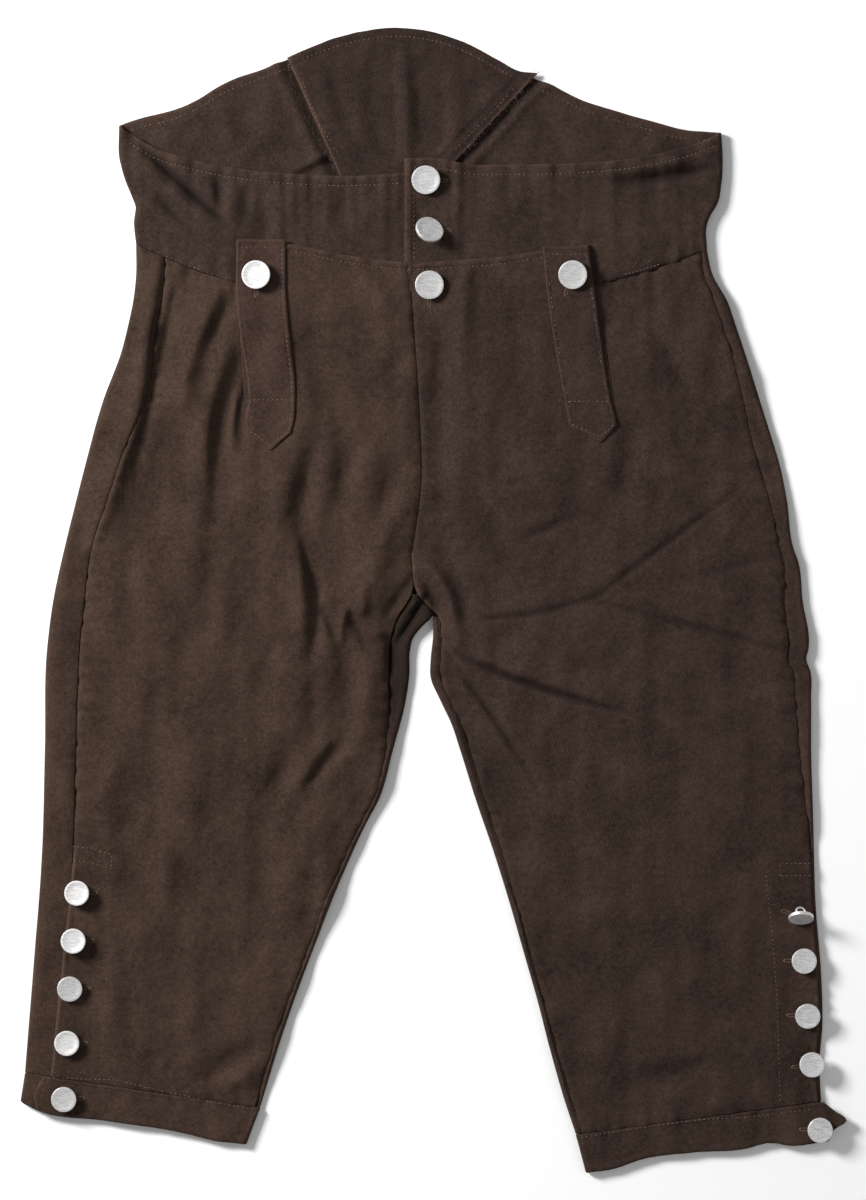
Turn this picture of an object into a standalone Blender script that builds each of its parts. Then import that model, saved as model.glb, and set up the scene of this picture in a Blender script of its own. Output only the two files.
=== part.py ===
# Knee breeches with a front fall, laid flat: back panels down, front panels lying on them.
# Right and left are the wearer's. +X is the wearer's left, +Y runs from the knees to the waist, +Z is up
# off the surface. Tables and sizes are in millimetres; the finished meshes are in metres.
import math

import bmesh
import bpy
import numpy as np
from mathutils import Matrix, Vector

MM = 0.001

# Cloth, gaps and the height of the flattened garment
CLOTH = 1.2  # one layer of heavy brushed twill
BAND_CLOTH = 2.0  # waistband and knee band, two layers with their edges turned in
SEAM_GAP = 0.4  # between two panels where they are sewn together
LAY_GAP = 0.35  # between cloth and the cloth it lies on
PLACKET_DROP = CLOTH + LAY_GAP + 0.05  # the button stand lies this far under the front's knee edge
PLACKET_LAP = 15  # how far the button stand goes on under the front
PLACKET_SINKS_Y = (-136, -172)  # going down the leg, the button stand sinks under the front here
PLACKET_WIDENS_Y = (-183, -205)  # and widens to its full lap here
BAND_TOP_Z = 7.4  # outer face of the waistband's front
BAND_LAP_DOWN = 1.0  # the right waistband's end lies lower, under the left one
BAND_LAP_UP = 1.4  # and the left one is lifted over it
FALL_TOP_Z = 10.4  # outer face of the fall where it lies over the waistband
GUSSET_TOP_Z = BAND_CLOTH + LAY_GAP + CLOTH
KNEE_BAND_Z = 6.2
KNEE_FLAT_Z = 5.8  # the front panel where the knee buttons stand
KNEE_LAP_DOWN = 1.0
KNEE_LAP_UP = 1.35
KNEE_LAP_REACH = 14

# Lines across the body
SLIT_END_Y = 140  # the fall's slits run from here up
CROTCH_Y = -12
GUSSET_POINT = (-38, 262)
LAP_LEFT_END_X = -20  # the left waistband's end, lapped over the right
LAP_RIGHT_END_X = 10
LAP_REACH = 32

# Buttons: cast pewter discs on a shank
BUTTON_THICK = 2.4
BUTTON_BEVEL = 0.5
SHANK_WIDE = 5.0
SHANK_LONG = 2.2
BUTTON_SIDES = 20

BROWN = (0.055, 0.034, 0.026)
BROWN_INSIDE = (0.046, 0.029, 0.023)
PEWTER = (0.62, 0.62, 0.64)


def table(columns, *rows):
    """Rows of numbers as a dictionary of named columns."""
    return dict(zip(columns.split(), np.array(rows, float).T))


def read(rows, column, at, key="y"):
    """A column read at a place between rows, on a smooth curve through them."""
    order = np.argsort(rows[key])
    keys, values = rows[key][order], rows[column][order]
    slopes = np.gradient(values, keys)
    at = min(max(at, keys[0]), keys[-1])
    i = min(int(np.searchsorted(keys, at, "right")) - 1, len(keys) - 2)
    step = keys[i + 1] - keys[i]
    t = (at - keys[i]) / step
    return (
        (1 + 2 * t) * (1 - t) ** 2 * values[i]
        + t * (1 - t) ** 2 * step * slopes[i]
        + t * t * (3 - 2 * t) * values[i + 1]
        + t * t * (t - 1) * step * slopes[i + 1]
    )


def read_straight(rows, column, at, key="y"):
    """The same on straight lines between the rows."""
    return float(np.interp(at, rows[key], rows[column]))


def smoothstep(low, high, at):
    t = min(max((at - low) / (high - low), 0.0), 1.0)
    return t * t * (3 - 2 * t)


def lerp(a, b, t):
    return a + (b - a) * t


# Height of the flattened body, outer face to outer face, all the way down
HEIGHT = table("y z", (250, 7.2), (175, 6.5), (60, 6.2), (-60, 6.0), (-200, 5.7), (-380, 5.6))

# How far the fall stands above that, where it climbs over the waistband
FALL_RISE = table("y z", (118, 0), (140, 0.3), (163, 1.3), (186, 2.4), (206, 3.3), (252, 2.6))

# Each side's plan. outer: the folded outer edge, and how far in from it the side seam shows on the front.
# inner: the folded edge inside the leg. seam: the front panel's inner edge, down the fly and then the inseam.
# slit: the fall's slit and the inner edge of the welt sewn along it.
PLAN = {
    "right": {
        "sign": -1,
        "hem": ((-286, -331), (-121, -355)),
        "fold_starts_y": 4,
        "outer": table(
            "y x wrap",
            (249, -208, 20), (228, -208, 20), (210, -210, 20), (193, -213.5, 20), (175, -218, 23),
            (140, -231, 30), (105, -241, 25), (70, -250, 22), (35, -258.5, 19), (0, -266, 22),
            (-35, -270.5, 23), (-105, -272, 22), (-175, -274, 22), (-245, -279, 20), (-331, -286, 18),
        ),
        "inner": table(
            "y x",
            (4, -11), (-12, -0.8), (-17, -6), (-26, -13.5), (-35, -16), (-52, -16.5), (-70, -19),
            (-105, -28), (-140, -38), (-157, -47), (-192, -63), (-245, -84), (-297, -103), (-355, -121),
        ),
        "seam": table(
            "y x",
            (30, -15.5), (4, -15.4), (-12, -25), (-26, -29.5), (-52, -31), (-87, -31.5),
            (-105, -33), (-140, -42),
            (-157, -51), (-192, -67), (-245, -88), (-297, -107), (-355, -125),
        ),
        "slit": table(
            "y x welt_x",
            (252, -137.5, -101), (210, -136, -99), (140, -133, -97), (118, -132.8, -97), (104, -132, -96.5),
        ),
        "welt_end_y": (118, 104),
    },
    "left": {
        "sign": 1,
        "hem": ((272, -351), (100, -374)),
        "fold_starts_y": -12,
        "outer": table(
            "y x wrap",
            (245, 192, 4), (228, 196, 6), (210, 206, 9), (193, 212, 9), (175, 218, 9.5), (140, 229, 11.5),
            (105, 240, 14.5), (70, 248, 12), (35, 253, 9.5), (0, 259, 12.5), (-35, 263, 14), (-70, 265, 11),
            (-105, 265, 8), (-140, 266, 6), (-175, 267, 4), (-210, 268, 4), (-262, 272, 4), (-297, 273, 4),
            (-325, 271, 4), (-351, 272, 4),
        ),
        "inner": table(
            "y x",
            (-12, 0), (-26, 0), (-40, -1.5), (-55, -1.5), (-70, 5), (-87, 13), (-105, 19), (-140, 30),
            (-175, 42), (-210, 53), (-245, 63), (-280, 73), (-315, 82), (-350, 92), (-374, 100),
        ),
        "seam": table(
            "y x",
            (30, -15.1), (4, -10.2), (-12, 4), (-26, 6), (-40, 5.5), (-55, 5.5), (-70, 12),
            (-87, 20), (-105, 26),
            (-140, 36.5), (-175, 48), (-210, 58), (-245, 68), (-315, 87), (-374, 105),
        ),
        "slit": table(
            "y x welt_x",
            (252, 108.5, 76), (205, 115, 81.5), (140, 127, 94), (121, 129.5, 95.5), (108, 130, 96.5),
        ),
        "welt_end_y": (121, 108),
    },
}

# The centre front seam, from the waist down to where the two inseams part from it
FLY = table(
    "y x", (252, -17.6), (194, -13.6), (155, -10.8), (110, -8.4), (84, -8.1), (53, -11.6), (30, -15.3)
)
FLY_END_Y = 30

# The back seam under the body, from the gusset's notch to the crotch
BACK_SEAM = table("y x", (272, -40), (200, -38), (100, -24), (30, -13), (4, -10.6), (-12, -2))

# Edges across the top: the fall's edge, the waistband's front and the raised back with the seat below it
FALL_EDGE = table(
    "x y",
    (-138, 252), (-100, 249), (-65, 242), (-38, 238), (-14, 236), (5, 237), (47, 240), (80, 245), (110, 249),
)
BAND_BOTTOM = {
    "right": table("x y", (-208, 249), (-173, 237), (-137, 222), (-80, 215), (10, 212)),
    "left": table("x y", (-20, 212), (70, 215), (118, 222), (159, 233), (192, 245)),
}
BAND_TOP = {
    "right": table(
        "x y", (-220, 332), (-198, 318), (-163, 307), (-128, 301), (-93, 298), (-55, 297), (-20, 299), (10, 301)
    ),
    "left": table(
        "x y", (-20, 309), (6, 309), (19, 306), (61, 305), (103, 306), (145, 310), (180, 318), (202, 327)
    ),
}
BAND_SIDE = {
    "right": table("y x", (249, -208), (263, -210), (280, -210), (294, -215), (308, -219.5), (332, -220)),
    "left": table("y x", (245, 192), (263, 192), (275, 197), (291, 202), (308, 203), (327, 202)),
}
BACK_BAND_BOTTOM = {  # straight, with the gusset's notch at the centre
    "right": table("x y", (-208, 249), (-56, 294), (-40, 272)),
    "left": table("x y", (-40, 272), (-4, 297), (192, 245)),
}
BACK_BAND_TOP = {
    "right": table(
        "x y",
        (-220, 332), (-206, 337), (-182, 343), (-166, 350), (-154, 357), (-141, 364), (-121, 371),
        (-94, 382),
    ),
    "left": table("x y", (64, 368), (90, 357), (104, 350), (126, 343), (150, 336), (177, 329), (202, 327)),
}
BACK_BAND_END = {"right": ((-56, 294), (-94, 382)), "left": ((-4, 297), (64, 368))}
GUSSET_TOP = table(
    "x y",
    (-102, 380), (-91, 385), (-74, 392), (-47, 399), (-23, 401), (-4, 399), (19, 392), (46, 378), (59, 371),
    (73, 369),
)

# Ridges and troughs of the upper layer: three points along each, its half-width and how far it rises
FOLDS = table(
    "x0 y0 x1 y1 x2 y2 wide rise",
    (-186, 244, -196, 180, -210, 110, 8, 4.5),  # pleat in front of the side seam
    (-150, 215, -170, 170, -184, 110, 13, 3.2),
    (-142, 190, -150, 130, -150, 60, 9, -2.2),  # dip beside the right welt
    (-112, 90, -118, 20, -112, -50, 14, 2.6),
    (-88, 112, -92, 56, -82, -60, 10, -1.8),
    (-66, 100, -70, 30, -60, -70, 12, 2.6),
    (-38, 60, -44, 10, -46, -60, 10, 2.4),
    (-66, 210, -60, 160, -58, 110, 14, 1.8),
    (40, 205, 38, 150, 34, 90, 15, 1.8),
    (-104, -60, -140, -130, -168, -200, 14, -1.6),
    (-120, -90, -160, -150, -195, -230, 20, 1.8),
    (26, -52, 75, -70, 126, -86, 11, 2.6),  # crease below the left crotch
    (99, -6, 160, 37, 212, 72, 12, 2.2),
    (112, -8, 180, -24, 245, -42, 12, 2.2),
    (60, -120, 110, -180, 140, -260, 24, 1.6),
    (168, 200, 176, 130, 190, 60, 14, 2.0),
)
BAND_FOLDS = table(
    "x0 y0 x1 y1 x2 y2 wide rise",
    (-205, 318, -172, 290, -140, 258, 9, 1.6),
    (196, 300, 165, 292, 120, 292, 9, 1.2),
)
GUSSET_FOLDS = table(
    "x0 y0 x1 y1 x2 y2 wide rise",
    (-52, 300, -62, 345, -78, 384, 9, 1.2),
    (-24, 300, -20, 345, -10, 392, 9, 1.6),
    (8, 318, 16, 348, 26, 380, 8, 1.4),
)
FOLD_STEPS = 10
SEAM_CALM = 14  # folds die out over this distance from a side seam or an inseam


def rise_of(folds, x, y):
    """How far the folds lift the cloth at a point in plan."""
    rise = 0.0
    for k in range(len(folds["x0"])):
        start, middle, end = (
            np.array((folds[f"x{n}"][k], folds[f"y{n}"][k])) for n in range(3)
        )
        t = np.linspace(0, 1, FOLD_STEPS + 1)[:, None]
        line = (1 - t) ** 2 * start + 2 * t * (1 - t) * middle + t * t * end
        away = np.linalg.norm(line - (x, y), axis=1)
        near = int(away.argmin())
        ends = math.sin(math.pi * (0.08 + 0.84 * near / FOLD_STEPS)) ** 0.6
        rise += folds["rise"][k] * ends * math.exp(-((away[near] / folds["wide"][k]) ** 2))
    return rise


def fabric(name, colour):
    material = bpy.data.materials.new(name)
    material.use_nodes = True
    shader = material.node_tree.nodes["Principled BSDF"]
    shader.inputs["Base Color"].default_value = (*colour, 1)
    shader.inputs["Roughness"].default_value = 0.9
    return material


def pewter():
    material = bpy.data.materials.new("cast_pewter")
    material.use_nodes = True
    shader = material.node_tree.nodes["Principled BSDF"]
    shader.inputs["Base Color"].default_value = (*PEWTER, 1)
    shader.inputs["Metallic"].default_value = 1.0
    shader.inputs["Roughness"].default_value = 0.4
    return material


def cloth(name, grid, material, thickness, upwards=True):
    """One piece of cloth. grid is a list of rows of (x, y, z) in millimetres, with None where there is no
    cloth; a row's point may be a pair where a slit parts the columns on its left and right. The wall goes
    inwards from this outer face."""
    mesh = bmesh.new()
    corners = []
    for row in grid:
        made = []
        for point in row:
            if point is None:
                made.append((None, None))
            elif isinstance(point[0], tuple):
                made.append(tuple(mesh.verts.new(Vector(p) * MM) for p in point))
            else:
                made.append((mesh.verts.new(Vector(point) * MM),) * 2)
        corners.append(made)
    for below, above in zip(corners, corners[1:]):
        for j in range(len(below) - 1):
            face = [below[j][1], below[j + 1][0], above[j + 1][0], above[j][1]]
            if None not in face:
                mesh.faces.new(face if upwards else face[::-1])
    data = bpy.data.meshes.new(name)
    mesh.to_mesh(data)
    mesh.free()
    data.shade_smooth()
    data.materials.append(material)
    piece = bpy.data.objects.new(name, data)
    bpy.context.scene.collection.objects.link(piece)
    wall = piece.modifiers.new("wall", "SOLIDIFY")
    wall.thickness = thickness * MM
    wall.offset = -1
    wall.use_even_offset = True
    return piece


# Rows, counted up from the hem: leg rows lean with the hem, body rows are level, top rows follow the waist
LEG_ROWS = [{"leg": v} for v in np.linspace(1, 0, 15)[:-1]]
BODY_ROWS = [{"y": y} for y in (CROTCH_Y, 4, 30, 56, 80)]
WELT_ROWS = [{"welt": 1}, {"welt": 0}]
TOP_ROWS = [{"top": w} for w in (0, 0.2, 0.4, 0.6, 0.8, 1)]
ROWS = LEG_ROWS + BODY_ROWS + WELT_ROWS + TOP_ROWS

FALL_COLUMNS, WELT_COLUMNS, SIDE_COLUMNS = 5, 2, 6
FRONT_COLUMNS = FALL_COLUMNS + WELT_COLUMNS + SIDE_COLUMNS
SLIT_COLUMN = FALL_COLUMNS + WELT_COLUMNS


def ends_of(side, row):
    """The outer and inner ends of a row's line across the leg or half body: (x, y) each."""
    plan = PLAN[side]
    if "leg" in row:
        outer_y = lerp(CROTCH_Y, plan["hem"][0][1], row["leg"])
        inner_y = lerp(CROTCH_Y, plan["hem"][1][1], row["leg"])
    else:
        outer_y = inner_y = row["y"] if "y" in row else level_of(side, row)
    outer = np.array((read(plan["outer"], "x", outer_y), outer_y))
    inner_x = read(plan["inner"], "x", inner_y) if inner_y <= plan["fold_starts_y"] else None
    return outer, (None if inner_x is None else np.array((inner_x, inner_y))), inner_y


def level_of(side, row):
    return PLAN[side]["welt_end_y"][row["welt"]] if "welt" in row else SLIT_END_Y


def inner_edge_x(side, y):
    """The front panel's inner edge: the centre front seam, and below it the inseam."""
    if y >= FLY_END_Y:
        return read(FLY, "x", y) + PLAN[side]["sign"] * SEAM_GAP / 2
    return read(PLAN[side]["seam"], "x", y)


def front_ends(side, row):
    """The front panel's ends on a row: its side seam and its inner edge."""
    plan = PLAN[side]
    outer, inner, inner_y = ends_of(side, row)
    seam = np.array((inner_edge_x(side, inner_y), inner_y))
    along = seam - outer
    along /= np.linalg.norm(along)
    wrap = read(plan["outer"], "wrap", outer[1]) + SEAM_GAP
    return outer + along * wrap, seam


def climb(side, x_at, edge, share):
    """The point of a column at a share of the way from the slit's end up to an edge across the top."""
    y = SLIT_END_Y
    for _ in range(4):
        y = lerp(SLIT_END_Y, read(edge, "y", x_at(y), key="x"), share)
    return x_at(y), y


def front_plan(side, row):
    """A row of the front panel in plan: (x, y) for each column, or a pair at the slit."""
    plan = PLAN[side]
    seam_x = lambda y: front_ends(side, {"y": y})[0][0]
    stations = (
        lambda y: inner_edge_x(side, y),
        lambda y: read(plan["slit"], "welt_x", y),
        lambda y: read(plan["slit"], "x", y),
    )
    zones = ((0, FALL_COLUMNS), (FALL_COLUMNS, WELT_COLUMNS), (SLIT_COLUMN, SIDE_COLUMNS))
    if "top" not in row:
        side_end, inner_end = front_ends(side, row)
        y = inner_end[1]
        even = np.linspace(0, 1, FRONT_COLUMNS + 1)
        level = max(y, plan["welt_end_y"][1])
        marks = [f(level) for f in stations] + [seam_x(level)]
        fitted = np.concatenate(
            [lerp(marks[k], marks[k + 1], np.arange(n) / n) for k, (_, n) in enumerate(zones)] + [[marks[3]]]
        )
        fitted = (fitted - marks[0]) / (marks[3] - marks[0])
        shares = lerp(even, fitted, smoothstep(CROTCH_Y - 60, plan["welt_end_y"][1], y))
        return [tuple(lerp(inner_end, side_end, s)) for s in shares]
    row_points = []
    slit_gap = plan["sign"] * SEAM_GAP / 2
    for k, (first, count) in enumerate(zones):
        low, high = stations[k], stations[k + 1] if k < 2 else seam_x
        edge = FALL_EDGE if k < 2 else BAND_BOTTOM[side]
        for c in range(count + 1):
            shift = slit_gap if k == 2 and c == 0 else (-slit_gap if k == 1 and c == count else 0)
            shift = shift if row["top"] > 0 else 0
            x_at = lambda y, c=c: lerp(low(y), high(y), c / count) + shift
            x, y = climb(side, x_at, edge, row["top"])
            y -= SEAM_GAP * row["top"] if k == 2 else 0
            if c == 0 and k == 2 and row["top"] > 0:
                row_points[-1] = (row_points[-1], (x, y))
            elif c > 0 or k == 0:
                row_points.append((x, y))
    return row_points


def body_z(x, y, seams):
    """The outer face of the upper layer. seams are the x of the nearest seams on either side."""
    calm = min(smoothstep(1, SEAM_CALM, abs(x - seam)) for seam in seams)
    return read(HEIGHT, "z", y) + rise_of(FOLDS, x, y) * calm * (1 - smoothstep(200, 246, y) * 0.6)


def fall_z(x, y, seams):
    """The fall's outer face: never so low that it meets the waistband beneath."""
    z = body_z(x, y, seams)
    if y > FALL_RISE["y"][0]:
        z += read(FALL_RISE, "z", y)
    return lerp(z, max(z, FALL_TOP_Z), smoothstep(186, 206, y))


def make_front(side, material):
    grid = []
    for row in ROWS:
        points = []
        places = front_plan(side, row)
        seams = [places[-1][0]] if "top" in row or "welt" in row else [places[0][0], places[-1][0]]
        for j, place in enumerate(places):
            if isinstance(place[0], tuple):
                fall_edge, side_edge = place
                points.append(((*fall_edge, fall_z(*fall_edge, seams)), (*side_edge, body_z(*side_edge, seams))))
            else:
                height = fall_z if j <= SLIT_COLUMN else body_z
                points.append((*place, height(*place, seams)))
        grid.append(points)
    cloth(f"front_{side}", grid, material, CLOTH, upwards=side == "left")
    return grid


def make_welt(side, front_grid, material):
    """The pointed strip sewn along the slit: the front's own points, moved out."""
    first = len(LEG_ROWS) + len(BODY_ROWS)
    raised = []
    for row in front_grid[first:]:
        points = [p[0] if isinstance(p[0], tuple) else p for p in row[FALL_COLUMNS : SLIT_COLUMN + 1]]
        raised.append([(x, y, z + LAY_GAP + CLOTH) for x, y, z in points])
    raised[0] = [None, raised[0][1], None]
    mesh_rows = raised[1:]
    piece = cloth(f"fall_welt_{side}", mesh_rows, material, CLOTH, upwards=side == "left")
    point_the_end(piece, mesh_rows[0], raised[0][1], side)
    return mesh_rows


def point_the_end(piece, last_row, tip, side):
    """Two triangles that bring the welt's lower end to a point."""
    mesh = bmesh.new()
    mesh.from_mesh(piece.data)
    tip_vert = mesh.verts.new(Vector(tip) * MM)
    ends = [min(mesh.verts, key=lambda v: (v.co - Vector(p) * MM).length) for p in last_row]
    for a, b in zip(ends, ends[1:]):
        mesh.faces.new([tip_vert, b, a] if side == "left" else [tip_vert, a, b])
    bmesh.ops.recalc_face_normals(mesh, faces=mesh.faces)
    if mesh.faces[0].normal.z < 0:
        bmesh.ops.reverse_faces(mesh, faces=mesh.faces)
    mesh.to_mesh(piece.data)
    mesh.free()


ARC_STEPS = 4
WRAP_STEPS = 2
BOTTOM_STEPS = 6


def fold_over(height):
    """(distance in from the edge, height) round a folded edge, from the top face to the bottom face."""
    r = height / 2
    angles = [math.pi * k / ARC_STEPS for k in range(ARC_STEPS + 1)]
    return [(r - r * math.sin(a), r + r * math.cos(a)) for a in angles]


def back_row(side, row):
    """A row of the back panel: over the outer fold from the side seam, along the bottom and, in the leg,
    round the inner fold to the inseam."""
    if row.get("top", 0) > 0:
        return back_top_row(side, row["top"])
    plan = PLAN[side]
    outer, inner, inner_y = ends_of(side, row)
    drop = PLACKET_DROP * smoothstep(*PLACKET_SINKS_Y, outer[1])
    lap = PLACKET_LAP * smoothstep(*PLACKET_WIDENS_Y, outer[1])
    points = []
    centre_x = read(BACK_SEAM, "x", inner_y) + plan["sign"] * SEAM_GAP / 2
    far_end = inner if inner is not None else np.array((centre_x, inner_y))
    long = np.linalg.norm(far_end - outer)
    across = (far_end - outer) / long
    height = read(HEIGHT, "z", outer[1]) - drop
    reach = read(plan["outer"], "wrap", outer[1]) + lap
    for k in range(WRAP_STEPS):
        at = outer + across * lerp(reach, height / 2, k / WRAP_STEPS)
        points.append((*at, read(HEIGHT, "z", at[1]) - drop))
    fold = fold_over(height)
    points += [(*(outer + across * q), z) for q, z in fold]
    end = long - (fold[-1][0] if inner is not None else 0)
    for k in range(1, BOTTOM_STEPS + 1):
        points.append((*(outer + across * lerp(fold[-1][0], end, k / BOTTOM_STEPS)), 0.0))
    if inner is None:
        return points + [None] * (ARC_STEPS + 1)
    inner_height = read(HEIGHT, "z", inner[1])
    points += [(*(inner - across * q), z) for q, z in fold_over(inner_height)[::-1][1:]]
    inner_wrap = abs(inner_edge_x(side, inner_y) - inner[0]) - SEAM_GAP
    at = inner - across * max(inner_wrap, inner_height / 2 + 0.3)
    return points + [(*at, read(HEIGHT, "z", at[1]))]


def back_top_row(side, share):
    """The same above the fall's slit, where the rows rise to the waistband's lower edges."""
    plan = PLAN[side]
    edges = {True: (BAND_BOTTOM[side], read), False: (BACK_BAND_BOTTOM[side], read_straight)}

    def climbed(x_at, upper):
        edge, reader = edges[upper]
        y = SLIT_END_Y
        for _ in range(6):
            y = lerp(SLIT_END_Y, reader(edge, "y", x_at(y), key="x") - SEAM_GAP, share)
        return x_at(y), y

    def in_from_edge(q):
        return lambda y: read(plan["outer"], "x", y) - plan["sign"] * q(y)

    height = read(HEIGHT, "z", SLIT_END_Y + 60 * share)
    fold = fold_over(height)
    points = []
    for k in range(WRAP_STEPS):
        q = lambda y, k=k: lerp(read(plan["outer"], "wrap", y), height / 2, k / WRAP_STEPS)
        x, y = climbed(in_from_edge(q), True)
        points.append((x, y, read(HEIGHT, "z", y)))
    for q, z in fold:
        points.append((*climbed(in_from_edge(lambda y, q=q: q), z > height * 0.75), z))
    centre_y = lerp(SLIT_END_Y, BACK_SEAM["y"][0] - SEAM_GAP, share)
    centre_x = read(BACK_SEAM, "x", centre_y) + plan["sign"] * SEAM_GAP / 2
    edge_x = points[-1][0]
    for k in range(1, BOTTOM_STEPS):
        x = lerp(edge_x, centre_x, k / BOTTOM_STEPS)
        points.append((*climbed(lambda y, x=x: x, False), 0.0))
    return points + [(centre_x, centre_y, 0.0)] + [None] * (ARC_STEPS + 1)


def make_back(side, material):
    grid = [back_row(side, row) for row in ROWS]
    return cloth(f"back_{side}", grid, material, CLOTH, upwards=side == "left")


BAND_FRONT_STEPS = 11
BAND_BACK_STEPS = 8
BAND_RISE_STEPS = 3


def make_waistband(side, material):
    """Half the waistband: from its front end, round the side fold, to its end at the back gusset."""
    sign = PLAN[side]["sign"]
    front_end = LAP_RIGHT_END_X if side == "right" else LAP_LEFT_END_X
    fold = fold_over(BAND_TOP_Z)
    grid = []
    for i in range(BAND_RISE_STEPS + 1):
        share = i / BAND_RISE_STEPS
        side_table = BAND_SIDE[side]
        edge_y = lerp(side_table["y"][0], side_table["y"][-1], share)
        edge_x = read(side_table, "x", edge_y)
        row = []

        def place(x, z, upper):
            if upper:
                bottom_y = read(BAND_BOTTOM[side], "y", x, key="x")
                y = lerp(bottom_y, read(BAND_TOP[side], "y", x, key="x"), share)
            else:
                bottom_y = read_straight(BACK_BAND_BOTTOM[side], "y", x, key="x")
                y = lerp(bottom_y, read(BACK_BAND_TOP[side], "y", x, key="x"), share)
            if z > BAND_TOP_Z * 0.75:
                z += rise_of(BAND_FOLDS, x, y)
                lap = smoothstep(LAP_REACH, LAP_REACH - 12, abs(x - (LAP_LEFT_END_X + LAP_RIGHT_END_X) / 2))
                z += lap * (BAND_LAP_UP if side == "left" else -BAND_LAP_DOWN)
            row.append((x, y, z))

        start_x = edge_x - sign * fold[0][0]
        for k in range(BAND_FRONT_STEPS):
            x = lerp(front_end, start_x, k / BAND_FRONT_STEPS)
            place(x, BAND_TOP_Z, True)
        for q, z in fold:
            place(edge_x - sign * q, z, z > BAND_TOP_Z / 2)
        low_end, high_end = BACK_BAND_END[side]
        end_x = lerp(low_end[0], high_end[0], share)
        for k in range(1, BAND_BACK_STEPS + 1):
            x = lerp(edge_x - sign * fold[-1][0], end_x, k / BAND_BACK_STEPS)
            place(x, 0.0, False)
        grid.append(row)
    return cloth(f"waistband_{side}", grid, material, BAND_CLOTH, upwards=side == "left")


GUSSET_ACROSS, GUSSET_UP = 12, 6
GUSSET_POINT_WIDE = 22
GUSSET_SAG = 2.0  # between the band's ends it lies this much lower


def inside_band_ends(x, y):
    """How far a point lies between the back band's two ends."""
    distances = []
    for side, (low, high) in BACK_BAND_END.items():
        low, high = np.array(low), np.array(high)
        along = (high - low) / np.linalg.norm(high - low)
        off = np.array((x, y)) - low
        distances.append(PLAN[side]["sign"] * (off[1] * along[0] - off[0] * along[1]))
    return min(distances)


def make_gusset(material):
    """The V let into the back of the waistband, seen from inside, lying on the band's two ends."""
    grid = []
    for i in range(GUSSET_UP + 1):
        row = []
        for k in range(GUSSET_ACROSS + 1):
            top_x = lerp(GUSSET_TOP["x"][0], GUSSET_TOP["x"][-1], k / GUSSET_ACROSS)
            top_y = read(GUSSET_TOP, "y", top_x, key="x")
            low_x = GUSSET_POINT[0] + GUSSET_POINT_WIDE * (k / GUSSET_ACROSS - 0.5)
            x = lerp(low_x, top_x, i / GUSSET_UP)
            y = lerp(GUSSET_POINT[1], top_y, i / GUSSET_UP)
            open_part = smoothstep(306, 322, y)
            sag = GUSSET_SAG * smoothstep(4, 18, inside_band_ends(x, y)) * open_part
            row.append((x, y, GUSSET_TOP_Z - sag + open_part * rise_of(GUSSET_FOLDS, x, y)))
        grid.append(row)
    return cloth("back_gusset", grid, material, CLOTH)


KNEE_BAND = {
    "right": {"top": ((-286, -331.5), (-121, -355.5)), "bottom": ((-289, -351), (-130.5, -381)),
              "end": (-274, -277.5, -275), "back_end": -258},
    "left": {"top": ((272, -351.5), (100, -374.5)), "bottom": ((271, -379), (107, -401)),
             "end": (275, 289, 279), "back_end": 254},
}
KNEE_ACROSS_STEPS = 8
KNEE_RISE_STEPS = 2


def make_knee_band(side, material):
    """The band below the knee: its front end laps over its back end beside the outer fold, in a point."""
    plan = KNEE_BAND[side]
    fold = fold_over(KNEE_BAND_Z)
    sign = PLAN[side]["sign"]
    grid = []
    for i in range(KNEE_RISE_STEPS + 1):
        share = i / KNEE_RISE_STEPS
        outer, inner = (
            lerp(np.array(plan["bottom"][k], float), np.array(plan["top"][k], float), share) for k in (0, 1)
        )
        outer[1] -= SEAM_GAP * share
        inner[1] -= SEAM_GAP * share
        across = (inner - outer) / np.linalg.norm(inner - outer)
        slope = across[1] / across[0]
        at_x = lambda x: np.array((x, outer[1] + (x - outer[0]) * slope))
        row = []
        front_end = at_x(plan["end"][2 - i])
        inner_top = inner - across * fold[0][0]
        for k in range(KNEE_ACROSS_STEPS + 1):
            at = lerp(front_end, inner_top, (k / KNEE_ACROSS_STEPS) ** 1.3)
            lap = smoothstep(-KNEE_LAP_REACH, 0, sign * (at[0] - plan["back_end"]))
            row.append((*at, KNEE_BAND_Z + KNEE_LAP_UP * lap))
        for q, z in fold[1:]:
            row.append((*(inner - across * q), z))
        for k in range(1, 6):
            row.append((*lerp(inner - across * fold[-1][0], outer + across * fold[-1][0], k / 5), 0.0))
        low = fold_over(KNEE_BAND_Z - KNEE_LAP_DOWN)
        for q, z in low[::-1][1:]:
            row.append((*(outer + across * q), z))
        for k in (0.5, 1):
            at = lerp(outer + across * low[0][0], at_x(plan["back_end"]), k)
            row.append((*at, KNEE_BAND_Z - KNEE_LAP_DOWN))
        grid.append(row)
    return cloth(f"knee_band_{side}", grid, material, BAND_CLOTH, upwards=side == "right")



WAIST_BUTTON_Z = BAND_TOP_Z + BAND_LAP_UP
WELT_Z = FALL_TOP_Z + LAY_GAP + CLOTH
KNEE_LAP_Z = KNEE_BAND_Z + KNEE_LAP_UP
WAIST_WIDE, KNEE_WIDE = 20, 17.5
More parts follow.
